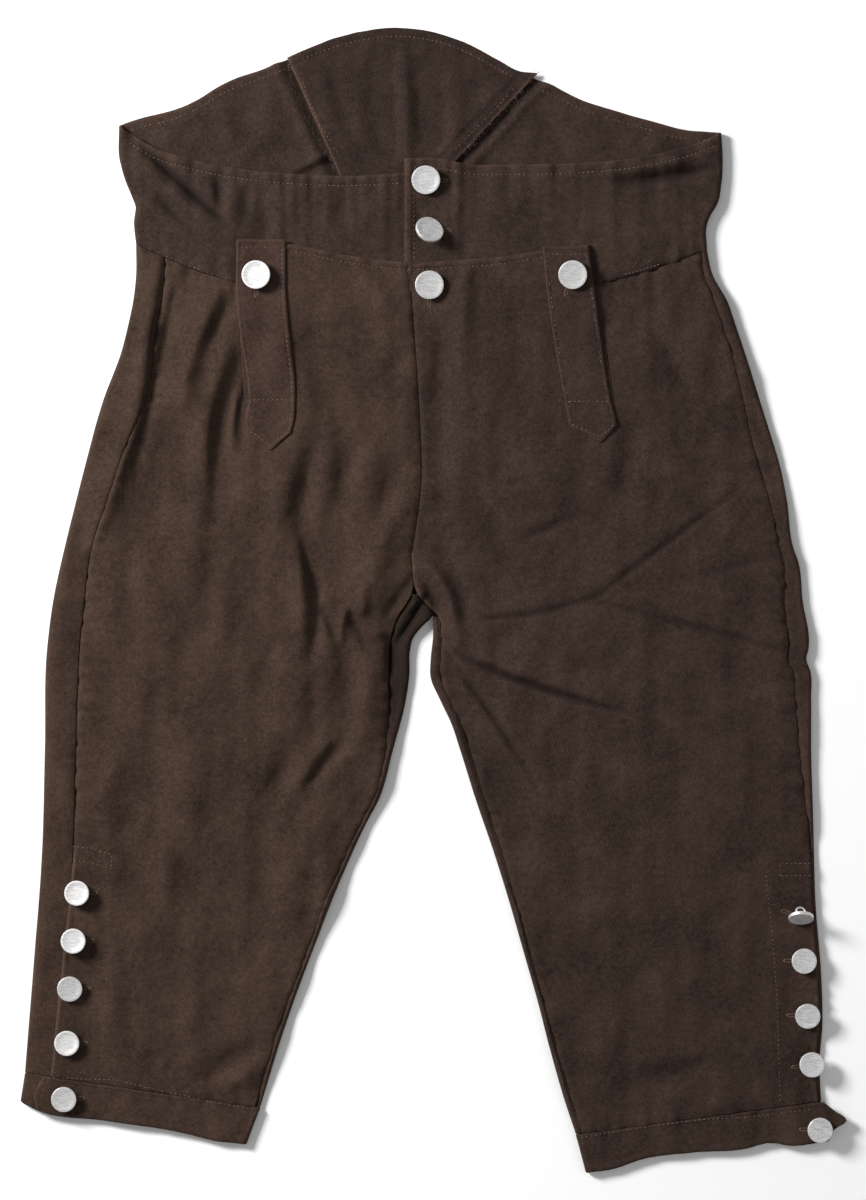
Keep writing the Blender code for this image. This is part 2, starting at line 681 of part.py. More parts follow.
# name, x, y, the height it stands on, its width, how far it leans, which way, and a longer shank where it shows
BUTTONS = (
    ("button_waist_upper", -5, 293.5, WAIST_BUTTON_Z, WAIST_WIDE, 8, -90, 0),
    ("button_waist_lower", -2.5, 258.5, WAIST_BUTTON_Z, WAIST_WIDE, 36, 56, 2.4),
    ("button_fall_centre", -2.5, 220, FALL_TOP_Z, WAIST_WIDE, 6, -30, 0.3),
    ("button_fall_right", -123.5, 227, WELT_Z, WAIST_WIDE, 5, 150, 0.3),
    ("button_fall_left", 97.5, 227, WELT_Z, WAIST_WIDE, 9, -90, 0.3),
    ("button_knee_right_1", -249, -205, KNEE_FLAT_Z, KNEE_WIDE, 6, 160, 0.3),
    ("button_knee_right_2", -251.5, -238.5, KNEE_FLAT_Z, KNEE_WIDE, 4, 140, 0.3),
    ("button_knee_right_3", -254, -272, KNEE_FLAT_Z, KNEE_WIDE, 7, -40, 0.3),
    ("button_knee_right_4", -256, -310, KNEE_FLAT_Z, KNEE_WIDE, 3, 120, 0.3),
    ("button_knee_right_5", -258, -349, KNEE_LAP_Z, KNEE_WIDE, 5, -70, 0.3),
    ("button_knee_left_1", 257, -222, 7.6, KNEE_WIDE, 60, -90, 4.6),
    ("button_knee_left_2", 259.5, -252.5, KNEE_FLAT_Z, KNEE_WIDE, 6, 40, 0.3),
    ("button_knee_left_3", 262, -291, KNEE_FLAT_Z, KNEE_WIDE, 8, -110, 0.3),
    ("button_knee_left_4", 265, -325, KNEE_FLAT_Z, KNEE_WIDE, 5, 70, 0.3),
    ("button_knee_left_5", 270.5, -370.5, KNEE_LAP_Z, KNEE_WIDE, 6, -60, 0.3),
)


def make_button(name, x, y, stands_on, wide, lean, towards, longer, material):
    """A flat disc with an eased rim on a round shank that stops just clear of the cloth."""
    mesh = bmesh.new()
    bmesh.ops.create_cone(
        mesh, cap_ends=True, segments=BUTTON_SIDES, radius1=wide / 2, radius2=wide / 2, depth=BUTTON_THICK
    )
    rims = [e for e in mesh.edges if abs(e.verts[0].co.z - e.verts[1].co.z) < 1e-6 and e.is_manifold]
    bmesh.ops.bevel(mesh, geom=rims, offset=BUTTON_BEVEL, segments=1, affect="EDGES")
    under = min(mesh.faces, key=lambda f: f.calc_center_median().z)
    long = SHANK_LONG + longer
    bmesh.ops.inset_individual(mesh, faces=[under], thickness=wide / 2 - BUTTON_BEVEL - SHANK_WIDE / 2)
    shank = bmesh.ops.extrude_discrete_faces(mesh, faces=[under])["faces"]
    bmesh.ops.translate(mesh, verts=shank[0].verts, vec=(0, 0, -long))
    data = bpy.data.meshes.new(name)
    mesh.transform(Matrix.Scale(MM, 4))
    mesh.to_mesh(data)
    mesh.free()
    data.shade_smooth()
    data.set_sharp_from_angle(angle=math.radians(35))
    data.materials.append(material)
    button = bpy.data.objects.new(name, data)
    bpy.context.scene.collection.objects.link(button)
    axis = Matrix.Rotation(math.radians(towards), 4, "Z") @ Vector((0, 1, 0))
    turn = Matrix.Rotation(math.radians(lean), 4, axis)
    foot = turn @ Vector((0, 0, -(BUTTON_THICK / 2 + long)))
    spread = SHANK_WIDE / 2 * math.sin(math.radians(lean))
    centre = Vector((x, y, stands_on + LAY_GAP + spread)) - Vector((0, 0, foot.z))
    button.matrix_world = Matrix.Translation(centre * MM) @ turn
    return button


def main():
    for old in list(bpy.data.objects):
        bpy.data.objects.remove(old)
    outside = fabric("brown_twill", BROWN)
    inside = fabric("brown_twill_gusset", BROWN_INSIDE)
    metal = pewter()
    for side in PLAN:
        front_grid = make_front(side, outside)
        make_welt(side, front_grid, outside)
        make_back(side, outside)
        make_waistband(side, outside)
        make_knee_band(side, outside)
    make_gusset(inside)
    for row in BUTTONS:
        make_button(*row, metal)


main()
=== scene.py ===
# Knee breeches with a buttoned front fall, laid flat with the front up.
# Tables and sizes are in mm: +X to the wearer's left, +Y to the waist, z = 0 where the garment lies.
import math
import random

import bmesh
import bpy
import numpy as np
from mathutils import Matrix, Vector
from mathutils.bvhtree import BVHTree


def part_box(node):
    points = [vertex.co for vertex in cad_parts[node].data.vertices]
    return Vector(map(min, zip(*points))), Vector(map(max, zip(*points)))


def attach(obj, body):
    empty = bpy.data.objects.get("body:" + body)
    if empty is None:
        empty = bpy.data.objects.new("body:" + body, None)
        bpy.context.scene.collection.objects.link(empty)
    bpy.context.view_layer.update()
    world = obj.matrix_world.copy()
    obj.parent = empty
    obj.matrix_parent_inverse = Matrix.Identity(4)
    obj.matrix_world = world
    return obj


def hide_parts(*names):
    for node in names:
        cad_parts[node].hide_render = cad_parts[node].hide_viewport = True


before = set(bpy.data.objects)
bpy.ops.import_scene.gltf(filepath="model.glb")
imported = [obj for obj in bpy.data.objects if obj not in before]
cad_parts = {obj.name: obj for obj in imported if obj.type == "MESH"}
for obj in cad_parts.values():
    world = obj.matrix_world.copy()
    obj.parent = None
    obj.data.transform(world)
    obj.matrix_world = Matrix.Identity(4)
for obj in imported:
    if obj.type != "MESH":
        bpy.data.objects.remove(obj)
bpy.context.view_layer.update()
mm = 0.001
random.seed(3)
print("frame loaded")


def table(columns, *rows):
    return dict(zip(columns.split(), np.array(rows, float).T))


def smooth(rows, column, at, key="y"):  # a smooth curve through the rows
    order = np.argsort(rows[key])
    keys, values = rows[key][order], rows[column][order]
    slopes = np.gradient(values, keys)
    at = np.clip(at, keys[0], keys[-1])
    i = np.clip(np.searchsorted(keys, at, "right") - 1, 0, len(keys) - 2)
    gap = keys[i + 1] - keys[i]
    t = (at - keys[i]) / gap
    return (
        (1 + 2 * t) * (1 - t) ** 2 * values[i] + t * (1 - t) ** 2 * gap * slopes[i]
        + t * t * (3 - 2 * t) * values[i + 1] + t * t * (t - 1) * gap * slopes[i + 1]
    )


def yAt(edge, x):  # how far up an edge across the garment lies
    return smooth(edge, "y", x, "x")


def straight(rows, column, at, key="y"):  # straight lines between the rows
    order = np.argsort(rows[key])
    return np.interp(at, rows[key][order], rows[column][order])


def ramp(low, high, at):
    t = np.clip((at - low) / (high - low), 0, 1)
    return t * t * (3 - 2 * t)


def bell(distance, wide):  # 1 at no distance, and next to nothing at twice the width
    return np.exp(-((distance / wide) ** 2))


def foldRise(folds, x, y):  # lit is the width on the side towards the light, shade on the other
    x, y = np.broadcast_arrays(x, y)
    total = np.zeros(x.shape)
    t = np.linspace(0, 1, foldLine["points"])
    for k in range(len(folds["rise"])):
        fold = {column: values[k] for column, values in folds.items()}
        px, py = (
            (1 - t) ** 2 * fold[a + "0"] + 2 * t * (1 - t) * fold[a + "1"] + t * t * fold[a + "2"]
            for a in "xy"
        )
        reach = 3 * max(fold["lit"], fold["shade"])
        near = (x > px.min() - reach) & (x < px.max() + reach)
        near = near & (y > py.min() - reach) & (y < py.max() + reach)
        if not near.any():
            continue
        nx, ny = x[near][:, None], y[near][:, None]
        bx, by = np.diff(px), np.diff(py)
        along = np.clip(((nx - px[:-1]) * bx + (ny - py[:-1]) * by) / (bx * bx + by * by), 0, 1)
        ex, ey = nx - px[:-1] - along * bx, ny - py[:-1] - along * by
        best = (ex * ex + ey * ey).argmin(1)
        rows = np.arange(len(best))
        ex, ey, along = ex[rows, best], ey[rows, best], (along[rows, best] + best) / len(bx)
        bx, by = bx[best], by[best]
        lit = (bx * ey - by * ex) * np.sign(bx + by) > 0
        wide = np.where(lit, fold["lit"], fold["shade"])
        fade = np.sin(math.pi * (0.02 + 0.96 * along)) ** foldLine["ends"]
        total[near] += fold["rise"] * fade * np.exp(-((np.hypot(ex, ey) / wide) ** foldLine["sharp"]))
    return total


def paintedShade(folds, x, y):  # painted shade, from 0 to 1: how much darker the colour is made in creases that are narrow and sunk
    hard = (folds["rise"] < 0) & (folds["shade"] < foldLine["hardWide"])
    hardFolds = {column: values[hard] for column, values in folds.items()}
    return np.clip(foldRise(hardFolds, x, y) / foldLine["fullShadeDeep"], 0, 1)


def ripple(x, y, seed, shortest, longest, rise):  # uneven waves that run every way
    draw = np.random.default_rng(seed)
    total = 0
    for _ in range(30):
        turn, shift = draw.uniform(0, 2 * math.pi, 2)
        size = draw.uniform(shortest, longest)
        total = total + np.sin((x * math.cos(turn) + y * math.sin(turn)) * 2 * math.pi / size + shift)
    return rise * total / math.sqrt(15)  # 30 waves of one size would have a mean square of 15


# how a crease is drawn: points along it, how its ends fade, how its sides fall, which creases are hard
# enough to get painted shade, and how deep one is where that shade is full
foldLine = {"points": 21, "ends": 0.8, "sharp": 1.7, "hardWide": 5, "fullShadeDeep": -2.2}
cloth = {"wall": 1.2, "bandWall": 2.0, "seamGap": 0.4, "layGap": 0.35}
lay = {  # crease stretches the rises of the body's folds, and leastZ is as flat as the layers press
    "slitEndY": 140, "crotchY": -12, "crease": 2.15, "leastZ": 3.0,
    "fallZ": 10.4, "fallStitch": 5.0, "overBandY": (186, 206),
}
seam = {"deep": 0.9, "wide": 1.6, "marks": (0, 0.9, 2.0, 3.6)}  # marks are how far in the closest rows lie
# lengths over which the rows are spaced
rowLong = {"leg": 340, "fall": 106, "band": 80, "gusset": 135, "knee": 30}
waves = {  # seed, shortest, longest, rise
    "legFine": (5, 9, 30, 0.16), "legBroad": (6, 50, 150, 0.6), "legDrape": (7, 18, 55, 0.6),
    "band": (8, 10, 40, 0.2), "yoke": (9, 14, 50, 0.35), "gusset": (10, 10, 36, 0.35),
    "kneeFine": (12, 10, 36, 0.25), "kneeBroad": (13, 50, 120, 0.35),
}
height = table("y z", (250, 7.2), (175, 6.5), (60, 6.2), (-60, 6.0), (-200, 5.7), (-380, 5.6))
fallRise = table("y z", (140, 0), (163, 1.2), (186, 2.4), (206, 3.3), (252, 2.6))
centreSeam = table(
    "y x", (252, -17.6), (194, -13.6), (155, -10.8), (110, -8.4), (84, -8.1), (53, -11.6), (30, -15.3)
)
backSeam = table("y x", (272, -40), (200, -38), (100, -24), (30, -13), (4, -10.6), (-12, -2))
# hem holds the outer and inner end of the knee edge; below foldStart the inner edge is folded too
plan = {
    "right": {
        "sign": -1, "hem": ((-286, -331), (-121, -355)), "foldStart": 4,
        "outer": table(  # the folded outer edge, and how far in the side seam lies
            "y x wrap",
            (249, -208, 20), (228, -208, 20), (210, -210, 20), (193, -213.5, 20), (175, -218, 23),
            (140, -231, 30), (105, -241, 25), (70, -250, 22), (35, -258.5, 19), (0, -266, 22),
            (-35, -270.5, 23), (-105, -272, 22), (-175, -274, 22), (-245, -279, 20), (-331, -286, 18),
        ),
        "inner": table(
            "y x",
            (4, -11), (-12, -0.8), (-17, -6), (-26, -13.5), (-35, -16), (-52, -16.5), (-70, -19),
            (-105, -28), (-140, -38), (-157, -47), (-192, -63), (-245, -84), (-297, -103), (-355, -121),
        ),
        "inseam": table(
            "y x",
            (30, -15.5), (4, -15.4), (-12, -25), (-26, -29.5), (-52, -31), (-87, -31.5), (-105, -33),
            (-140, -42), (-157, -51), (-192, -67), (-245, -88), (-297, -107), (-355, -125),
        ),
        "slit": table("y x", (252, -137.5), (210, -136), (140, -133), (104, -132.5)),
        "welt": table(
            "y left right",
            (252, -137, -103), (213, -137.5, -102.6), (180, -134, -99.5), (150, -129.5, -96.5),
            (138, -129, -96.5), (127, -131.5, -97.2), (117, -130, -99.5), (105.5, -114.6, -113.2),
        ),
    },
    "left": {
        "sign": 1, "hem": ((272, -351), (100, -374)), "foldStart": -12,
        "outer": table(
            "y x wrap",
            (245, 192, 4), (228, 196, 6), (210, 206, 9), (193, 212, 9), (175, 218, 9.5), (140, 229, 11.5),
            (105, 240, 14.5), (97, 242.4, 14.5), (70, 248, 12), (35, 253, 9.5), (28, 255.6, 10),
            (0, 259, 12.5), (-35, 263, 14), (-41, 261.6, 13), (-50, 264.5, 12), (-70, 265, 11),
            (-105, 265, 8), (-140, 266, 5), (-175, 267, 2.6), (-210, 268, 2.4), (-262, 272, 2.4),
            (-297, 273, 2.4), (-325, 271, 2.4), (-351, 272, 2.4),
        ),
        "inner": table(
            "y x",
            (-12, 0), (-26, 0), (-40, -1.5), (-55, -1.5), (-70, 5), (-87, 13), (-105, 19), (-140, 30),
            (-175, 42), (-210, 53), (-245, 63), (-280, 73), (-315, 82), (-350, 92), (-374, 100),
        ),
        "inseam": table(
            "y x",
            (30, -15.1), (4, -10.2), (-12, 4), (-26, 6), (-40, 5.5), (-55, 5.5), (-70, 12), (-87, 20),
            (-105, 26), (-140, 36.5), (-175, 48), (-210, 58), (-245, 68), (-315, 87), (-374, 105),
        ),
        "slit": table("y x", (252, 108.5), (205, 115), (140, 127), (108, 130)),
        "welt": table(
            "y left right",
            (247, 76.5, 108.5), (205, 81, 114.5), (160, 88.5, 121), (140, 92, 124.5), (131, 94, 127),
            (122, 95.3, 128.8), (111, 116.4, 117.8),
        ),
    },
}
fallEdge = table(
    "x y",
    (-138, 252), (-100, 249), (-65, 242), (-38, 238), (-14, 236), (5, 237), (47, 240), (80, 245), (110, 249),
)
bandBottom = {
    "right": table("x y", (-208, 249), (-188, 240), (-137, 222), (-80, 215), (10, 212)),
    "left": table("x y", (-20, 212), (70, 215), (118, 222), (159, 233), (192, 245)),
}
bandTop = {
    "right": table(
        "x y",
        (-220, 332), (-198, 318), (-163, 307), (-128, 301), (-93, 298), (-55, 297), (-20, 299), (10, 301),
    ),
    "left": table(
        "x y", (-20, 309), (6, 309), (19, 306), (61, 305), (103, 306), (145, 310), (180, 318), (202, 327)
    ),
}
bandSide = {
    "right": table(
        "y x",
        (249, -208), (263, -209.5), (278, -208.5), (287, -212), (296, -216), (308, -219.5), (332, -220),
    ),
    "left": table(
        "y x", (245, 192), (263, 192), (270, 194.5), (277, 199), (291, 202), (308, 203), (327, 202)
    ),
}
backBandBottom = {
    "right": table("x y", (-208, 249), (-56, 294), (-40, 272)),
    "left": table("x y", (-40, 272), (-4, 297), (192, 245)),
}
backBandTop = {
    "right": table(
        "x y",
        (-220, 332), (-206, 337), (-182, 343), (-166, 350), (-154, 357), (-141, 364), (-121, 371),
        (-94, 382),
    ),
    "left": table("x y", (64, 368), (90, 357), (104, 350), (126, 343), (150, 336), (177, 329), (202, 327)),
}
backBandEnd = {"right": ((-56, 294), (-94, 382)), "left": ((-4, 297), (64, 368))}

foldColumns = "x0 y0 x1 y1 x2 y2 lit shade rise"
bodyFolds = table(
    foldColumns,
    # wearer's right, above the knee: pleats under the waistband
    (-190, 250, -199, 185, -210, 112, 10, 3.8, 2.5),
    (-207, 140, -212, 106, -242, 26, 10, 7, 3.0),
    (-178, 226, -192, 165, -209, 92, 3, 6, -1.8),
    (-148, 216, -172, 174, -178, 120, 12, 8, 3.2),
    (-139, 216, -146, 202, -160, 174, 6, 7, -2.0),
    (-141, 184, -160, 142, -160, 74, 12, 8, 3.2),
    (-133, 172, -153, 128, -148, 76, 8, 12, -2.2),
    (-131, 154, -138, 128, -134, 102, 2.4, 3, -1.8),
    (-134, 150, -143, 126, -141, 96, 3, 3, 1.6),
    (-150, 100, -145, 74, -154, 48, 7, 9, -2.6),
    (-176, 140, -192, 90, -206, 26, 12, 15, -2.2),
    (-162, 70, -190, 20, -200, -30, 22, 22, 1.8),
    (-128, 66, -134, 48, -122, 34, 10, 12, -1.4),
    (-96, 128, -92, 90, -110, 46, 13, 12, 2.6),
    (-92, 186, -68, 156, -70, 122, 12, 10, -2.6),
    (-80, 116, -100, 60, -84, 18, 12, 6, -2.6),
    (-92, 56, -80, 20, -81, -14, 6, 5, -2.8),
    (-81, -4, -80, -28, -88, -46, 6, 5, -2.2),
    (-96, 60, -90, 10, -92, -30, 13, 8, 3.0),
    (-52, 112, -62, 80, -73, 38, 9, 8, -2.4),
    (-40, 112, -58, 84, -66, 54, 12, 10, 1.8),
    (-17, 97, -30, 84, -38, 54, 8, 8, -2.2),
    (-20, 76, -44, 30, -47, -14, 13, 13, 3.6),
    (-47, -10, -42, -60, -52, -108, 13, 12, 3.0),
    (-60, 60, -68, 30, -64, 2, 12, 12, -1.8),
    (-57, 238, -60, 205, -34, 180, 9, 9, -1.4),
    (-48, 232, -40, 212, -26, 200, 10, 10, 1.2),
    (-38, 150, -26, 166, -14, 172, 6, 8, -0.9),
    # the bunched cloth beside the crotch
    (-50, 12, -48, -6, -50, -12, 5, 4, 1.6),
    (-60, -6, -52, -22, -46, -38, 3, 3, -1.9),
    (-78, -4, -72, -20, -67, -28, 3, 3, -1.5),
    (-58, -2, -66, -14, -63, -34, 4, 4, 1.5),
    (-34, -20, -28, -34, -30, -52, 4, 4, -1.2),
    # wearer's right, down the leg
    (-62, -14, -57, -50, -58, -98, 9, 10, -2.6),
    (-58, -96, -74, -112, -93, -136, 6, 5, -2.6),
    (-72, -98, -86, -118, -100, -146, 10, 8, 2.0),
    (-92, -132, -96, -146, -94, -170, 9, 8, -1.4),
    (-97, -110, -112, -126, -120, -166, 8, 6, -1.9),
    (-112, -16, -112, -44, -124, -64, 7, 8, -1.1),
    (-88, -44, -92, -74, -104, -104, 16, 12, 1.8),
    (-62, -112, -84, -150, -100, -204, 18, 18, 1.8),
    (-152, -20, -176, -110, -170, -190, 30, 26, 1.2),
    (-190, -100, -212, -150, -214, -196, 14, 14, -1.4),
    (-232, -110, -226, -160, -226, -212, 9, 9, 0.9),
    (-108, -190, -124, -220, -128, -250, 14, 14, -1.1),
    (-122, -317, -140, -318, -163, -341, 7, 6, -2.4),
    (-118, -326, -136, -332, -150, -350, 9, 8, 1.6),
    (-256, -20, -262, -70, -262, -120, 8, 8, -0.8),
    (-228, 118, -240, 96, -248, 70, 7, 7, -1.2),
    # wearer's left, seat and thigh
    (22, 236, 25, 205, 17, 172, 8, 9, 1.5),
    (8, 190, 2, 130, 7, 50, 7, 9, -2.0),
    (34, 232, 40, 222, 48, 206, 9, 9, -0.8),
    (52, 214, 60, 200, 54, 182, 10, 10, -1.0),
    (44, 170, 36, 120, 30, 80, 18, 18, 1.3),
    (30, 82, 44, 46, 66, 2, 9, 6, -1.3),
    (132, 146, 146, 108, 128, 66, 8, 9, -1.4),
    (150, 204, 166, 176, 172, 154, 8, 8, -1.0),
    (168, 164, 178, 146, 192, 134, 6, 6, -1.0),
    (164, 130, 180, 106, 190, 84, 6, 6, -1.1),
    (222, 98, 230, 88, 242, 96, 4, 4, -1.2),
    (206, 190, 190, 165, 204, 140, 12, 12, -1.0),
    # the crescent that the crotch throws up
    (-13, 25, 14, 24, 17, -34, 5, 5.5, 2.6),
    (-8, 10, 3, 4, 2, -16, 3, 3, -1.6),
    (0, 34, 22, 30, 26, -30, 7, 8, -1.3),
    (-1, 6, -14, -7, -27, -34, 2.2, 2.2, -1.6),
    (-5, 8, -17, -6, -30, -32, 1.5, 1.5, 1.0),
    (-12, 20, -22, 4, -34, -14, 4, 4, -1.4),
    # creases across the thigh
    (110, -2, 160, 36, 218, 80, 2.4, 1.9, -0.8),
    (108, 6, 156, 42, 212, 84, 12, 8, 0.4),
    (26, -14, 76, -14, 126, 6, 2.4, 1.8, -1.0),
    (30, -7, 76, -4, 118, 10, 12, 7, 0.6),
    (110, 0, 176, -17, 262, -41, 2.6, 2.0, -1.2),
    (120, 6, 180, -9, 254, -32, 12, 7, 0.8),
    (164, 12, 204, 21, 244, 30, 5, 4, -0.7),
    (62, 43, 80, 48, 97, 57, 4, 3, -0.9),
    (62, -10, 56, -24, 40, -40, 10, 10, -1.2),
    (110, -10, 112, -34, 102, -58, 14, 14, -1.0),
    # the deep crease below the crotch and the thin one under it
    (16, -38, 62, -61, 138, -80, 2.0, 1.6, -2.6),
    (24, -36, 66, -55, 128, -72, 8, 3, 1.6),
    (30, -56, 62, -68, 112, -80, 8, 10, 0.9),
    (8, -36, 42, -76, 77, -138, 2.4, 1.9, -1.5),
    (34, -66, 64, -96, 90, -138, 8, 14, 1.1),
    (46, -100, 58, -130, 62, -176, 12, 14, -1.3),
    (8, -36, 18, -68, 28, -118, 5, 4, -0.8),
    (60, -180, 100, -230, 120, -290, 26, 26, 1.0),
    (168, -110, 186, -190, 176, -260, 30, 30, 1.0),
    (138, -341, 164, -332, 194, -326, 7, 7, -1.5),
    (140, -326, 168, -318, 198, -314, 10, 8, 1.0),
    (236, -40, 246, -80, 244, -120, 8, 8, 0.8),
)
bandFolds = table(
    foldColumns,
    (-216, 328, -178, 294, -138, 258, 2.0, 2.8, -3.0),
    (-204, 327, -172, 302, -136, 270, 6, 5, 1.6),
    (-212, 312, -184, 286, -152, 260, 6, 4, 2.0),
    (-196, 286, -184, 272, -170, 260, 3, 3, -1.4),
    (-152, 298, -149, 286, -150, 270, 4, 3, -1.7),
    (-132, 292, -130, 278, -133, 262, 4, 3, -1.8),
    (-118, 282, -116, 262, -120, 240, 7, 4, -1.1),
    (-108, 290, -104, 262, -108, 236, 9, 8, 0.8),
    (-66, 290, -64, 274, -66, 256, 6, 4, -1.0),
    (-60, 286, -50, 262, -54, 244, 9, 8, 0.9),
    (-12, 286, -8, 262, -8, 236, 4, 3, -0.8),
    (20, 288, 22, 262, 20, 230, 7, 5, -0.9),
    (200, 321, 160, 309, 128, 305, 2.4, 2.4, -1.2),
    (202, 304, 162, 296, 124, 292, 3, 4, -2.8),
    (200, 314, 160, 303, 116, 299, 5, 4, 2.2),
    (190, 293, 158, 290, 118, 286, 9, 7, 1.2),
    (60, 290, 74, 268, 66, 244, 16, 16, 0.8),
    (150, 282, 140, 262, 146, 240, 12, 12, 0.7),
)
yokeFolds = table(
    foldColumns,
    (-150, 352, -138, 330, -146, 312, 12, 10, 1.5),
    (-112, 372, -110, 340, -120, 310, 10, 10, 1.2),
    (-97, 301, -84, 307, -70, 314, 2.6, 2.2, 2.2),
    (-98, 296, -88, 300, -74, 305, 3, 3, -1.2),
    (-196, 334, -186, 326, -182, 318, 8, 8, 1.2),
    (60, 350, 72, 332, 66, 312, 12, 10, 1.3),
    (112, 342, 108, 326, 116, 312, 12, 12, 1.2),
    (170, 330, 160, 322, 150, 314, 8, 8, 1.0),
)
gussetFolds = table(
    foldColumns,
    (-32, 396, -30, 345, -30, 300, 7, 5, -2.0),
    (-19, 392, -19, 345, -18, 300, 9, 6, 2.0),
    (1, 386, 2, 345, 0, 300, 7, 5, -2.4),
    (18, 372, 20, 345, 12, 306, 9, 7, 1.7),
    (-52, 384, -56, 345, -48, 304, 12, 9, 1.3),
    (-78, 380, -76, 350, -64, 318, 10, 9, 1.0),
    (46, 362, 40, 348, 30, 332, 8, 7, 0.9),
)


def grid(x, y, z, wall, wearAndShade=0.0):  # the last value is above 0 where the nap is rubbed, and below 0 where painted shade darkens the colour
    return np.stack(np.broadcast_arrays(x, y, z, wall, wearAndShade), -1).astype(float)


def spread(lengths, count):  # places from edge to edge on each row, closer together at both edges
    lengths = np.asarray(lengths, float)[:, None]
    marks = np.array(seam["marks"])[None]
    inside = marks[:, -1:] + (lengths - 2 * marks[:, -1:]) * np.linspace(0, 1, count)[1:-1]
    return np.hstack([marks + 0 * lengths, inside, lengths - marks[:, ::-1]])


def spreadShares(long, count):
    return spread([long], count) / long


def rowShares(long, count, stitch):  # rows from 0 to 1 at an edge, some either side of its stitching
    fine = np.sort((0, 0.8, 1.8, stitch - 1, stitch, stitch + 1, stitch + 2.4))
    return 1 - np.concatenate([np.linspace(long, fine[-1], count)[:-1], fine[::-1]]) / long


def dip(distance, deep=seam["deep"], wide=seam["wide"]):  # the groove along a seam
    return -deep * bell(distance, wide)


def pucker(along, away, seed, rise, reach, shortest=7, longest=24):  # small gathers the stitching pulls up
    return ripple(along, 0 * along, seed, shortest, longest, rise) * np.exp(-np.abs(away) / reach)


def turnedEdge(distance, stitch):  # an edge turned in: a soft roll, then the groove its stitching pulls
    roll = 0.45 * bell(distance - stitch * 0.5, stitch * 0.42)
    return roll - 0.7 * bell(distance, 1.1) - 0.5 * bell(distance - stitch, 1.0)


def sewPiece(name, node, grids, material, faceUp):
    mesh = bmesh.new()
    layAt = mesh.verts.layers.float_vector.new("lay")
    wallAt = mesh.verts.layers.float.new("wall")
    for points in grids:
        steps = np.nan_to_num(np.linalg.norm(np.diff(points[..., :3], axis=1), axis=-1))
        across = np.pad(np.cumsum(steps, axis=1), ((0, 0), (1, 0)))
        middle = points.shape[1] // 3
        down = np.linalg.norm(np.diff(points[:, middle, :3], axis=0), axis=-1)
        along = np.concatenate([[0], np.cumsum(down)])
        made = []
        for i, row in enumerate(points):
            made.append([])
            for j, (x, y, z, wall, wearAndShade) in enumerate(row):
                vert = None
                if x == x:
                    vert = mesh.verts.new((x * mm, y * mm, z * mm))
                    vert[layAt] = (across[i, j] * mm, along[i] * mm, wearAndShade)
                    vert[wallAt] = wall * mm
                made[-1].append(vert)
        for low, high in zip(made, made[1:]):
            for j in range(len(low) - 1):
                corners = [low[j], low[j + 1], high[j + 1], high[j]]
                if None not in corners:
                    mesh.faces.new(corners if faceUp else corners[::-1])
    bmesh.ops.remove_doubles(mesh, verts=mesh.verts, dist=0.02 * mm)
    mesh.normal_update()
    outerFaces = list(mesh.faces)
    inner = {}
    for vert in list(mesh.verts):
        inner[vert] = mesh.verts.new(vert.co - vert.normal * vert[wallAt], vert)
        inner[vert].co = vert.co - vert.normal * vert[wallAt]
    outwards = {}
    rimLoops = [edge.link_loops[0] for edge in mesh.edges if edge.is_boundary]
    for loop in rimLoops:
        a, b = loop.vert, loop.link_loop_next.vert
        out = (b.co - a.co).normalized().cross(loop.face.normal)
        for vert in (a, b):
            outwards[vert] = outwards.get(vert, Vector()) + out
    rim = {}
    for vert, out in outwards.items():
        rim[vert] = mesh.verts.new((0, 0, 0), vert)
        rim[vert].co = (vert.co + inner[vert].co) / 2 + out.normalized() * vert[wallAt] * 0.3
    for face in outerFaces:
        mesh.faces.new([inner[v] for v in reversed(face.verts)])
    for loop in rimLoops:
        a, b = loop.vert, loop.link_loop_next.vert
        mesh.faces.new([b, a, rim[a], rim[b]])
        mesh.faces.new([rim[b], rim[a], inner[a], inner[b]])
    data = bpy.data.meshes.new(name)
    mesh.to_mesh(data)
    mesh.free()
    data.shade_smooth()
    piece = addObject(name, data, material)
    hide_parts(node)
    return piece


def addObject(name, data, material):
    data.materials.clear()
    data.materials.append(material)
    piece = bpy.data.objects.new(name, data)
    bpy.context.scene.collection.objects.link(piece)
    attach(piece, "root")
    return piece


def legTop(x, y):  # how high the upper layer of the legs and seat lies; it never quite presses flat
    z = smooth(height, "z", y) + foldRise(bodyFolds, x, y) * lay["crease"]
    drape = ripple(x, y * 0.4, *waves["legDrape"]) * (1.2 - ramp(-40, 0, x) * 0.5)  # calmer on the left leg
    z = z + ripple(x, y, *waves["legFine"]) + ripple(x, y, *waves["legBroad"]) + drape
    return lay["leastZ"] + np.logaddexp(0, (z - lay["leastZ"]) * 1.3) / 1.3


def fallTop(x, y):  # the fall climbs from the end of its slits and lies over the waistband
    z = legTop(x, y) + np.where(y > lay["slitEndY"], smooth(fallRise, "z", y), 0)
    over = ramp(*lay["overBandY"], y)
    return z + over * (np.maximum(z, lay["fallZ"] + 0.35 * (z - lay["fallZ"])) - z)


def innerEdge(side, y):  # centre front seam, and the inseam below it
    p = plan[side]
    return np.where(
        y >= 30, smooth(centreSeam, "x", y) + p["sign"] * cloth["seamGap"] / 2, smooth(p["inseam"], "x", y)
    )


def sideSeam(side, y):
    p = plan[side]
    return smooth(p["outer"], "x", y) - p["sign"] * (smooth(p["outer"], "wrap", y) + cloth["seamGap"])


# shares from the crotch to the knee, places from there up to the end of the slits, shares on to the top
hemMarks = np.concatenate([seam["marks"], np.linspace(6, 240, 98), np.linspace(241.3, rowLong["leg"], 76)])
legRows = 1 - hemMarks / rowLong["leg"]
bodyRows = np.linspace(lay["crotchY"], lay["slitEndY"], 98)[1:]
topRows = rowShares(rowLong["fall"], 50, lay["fallStitch"])[1:]


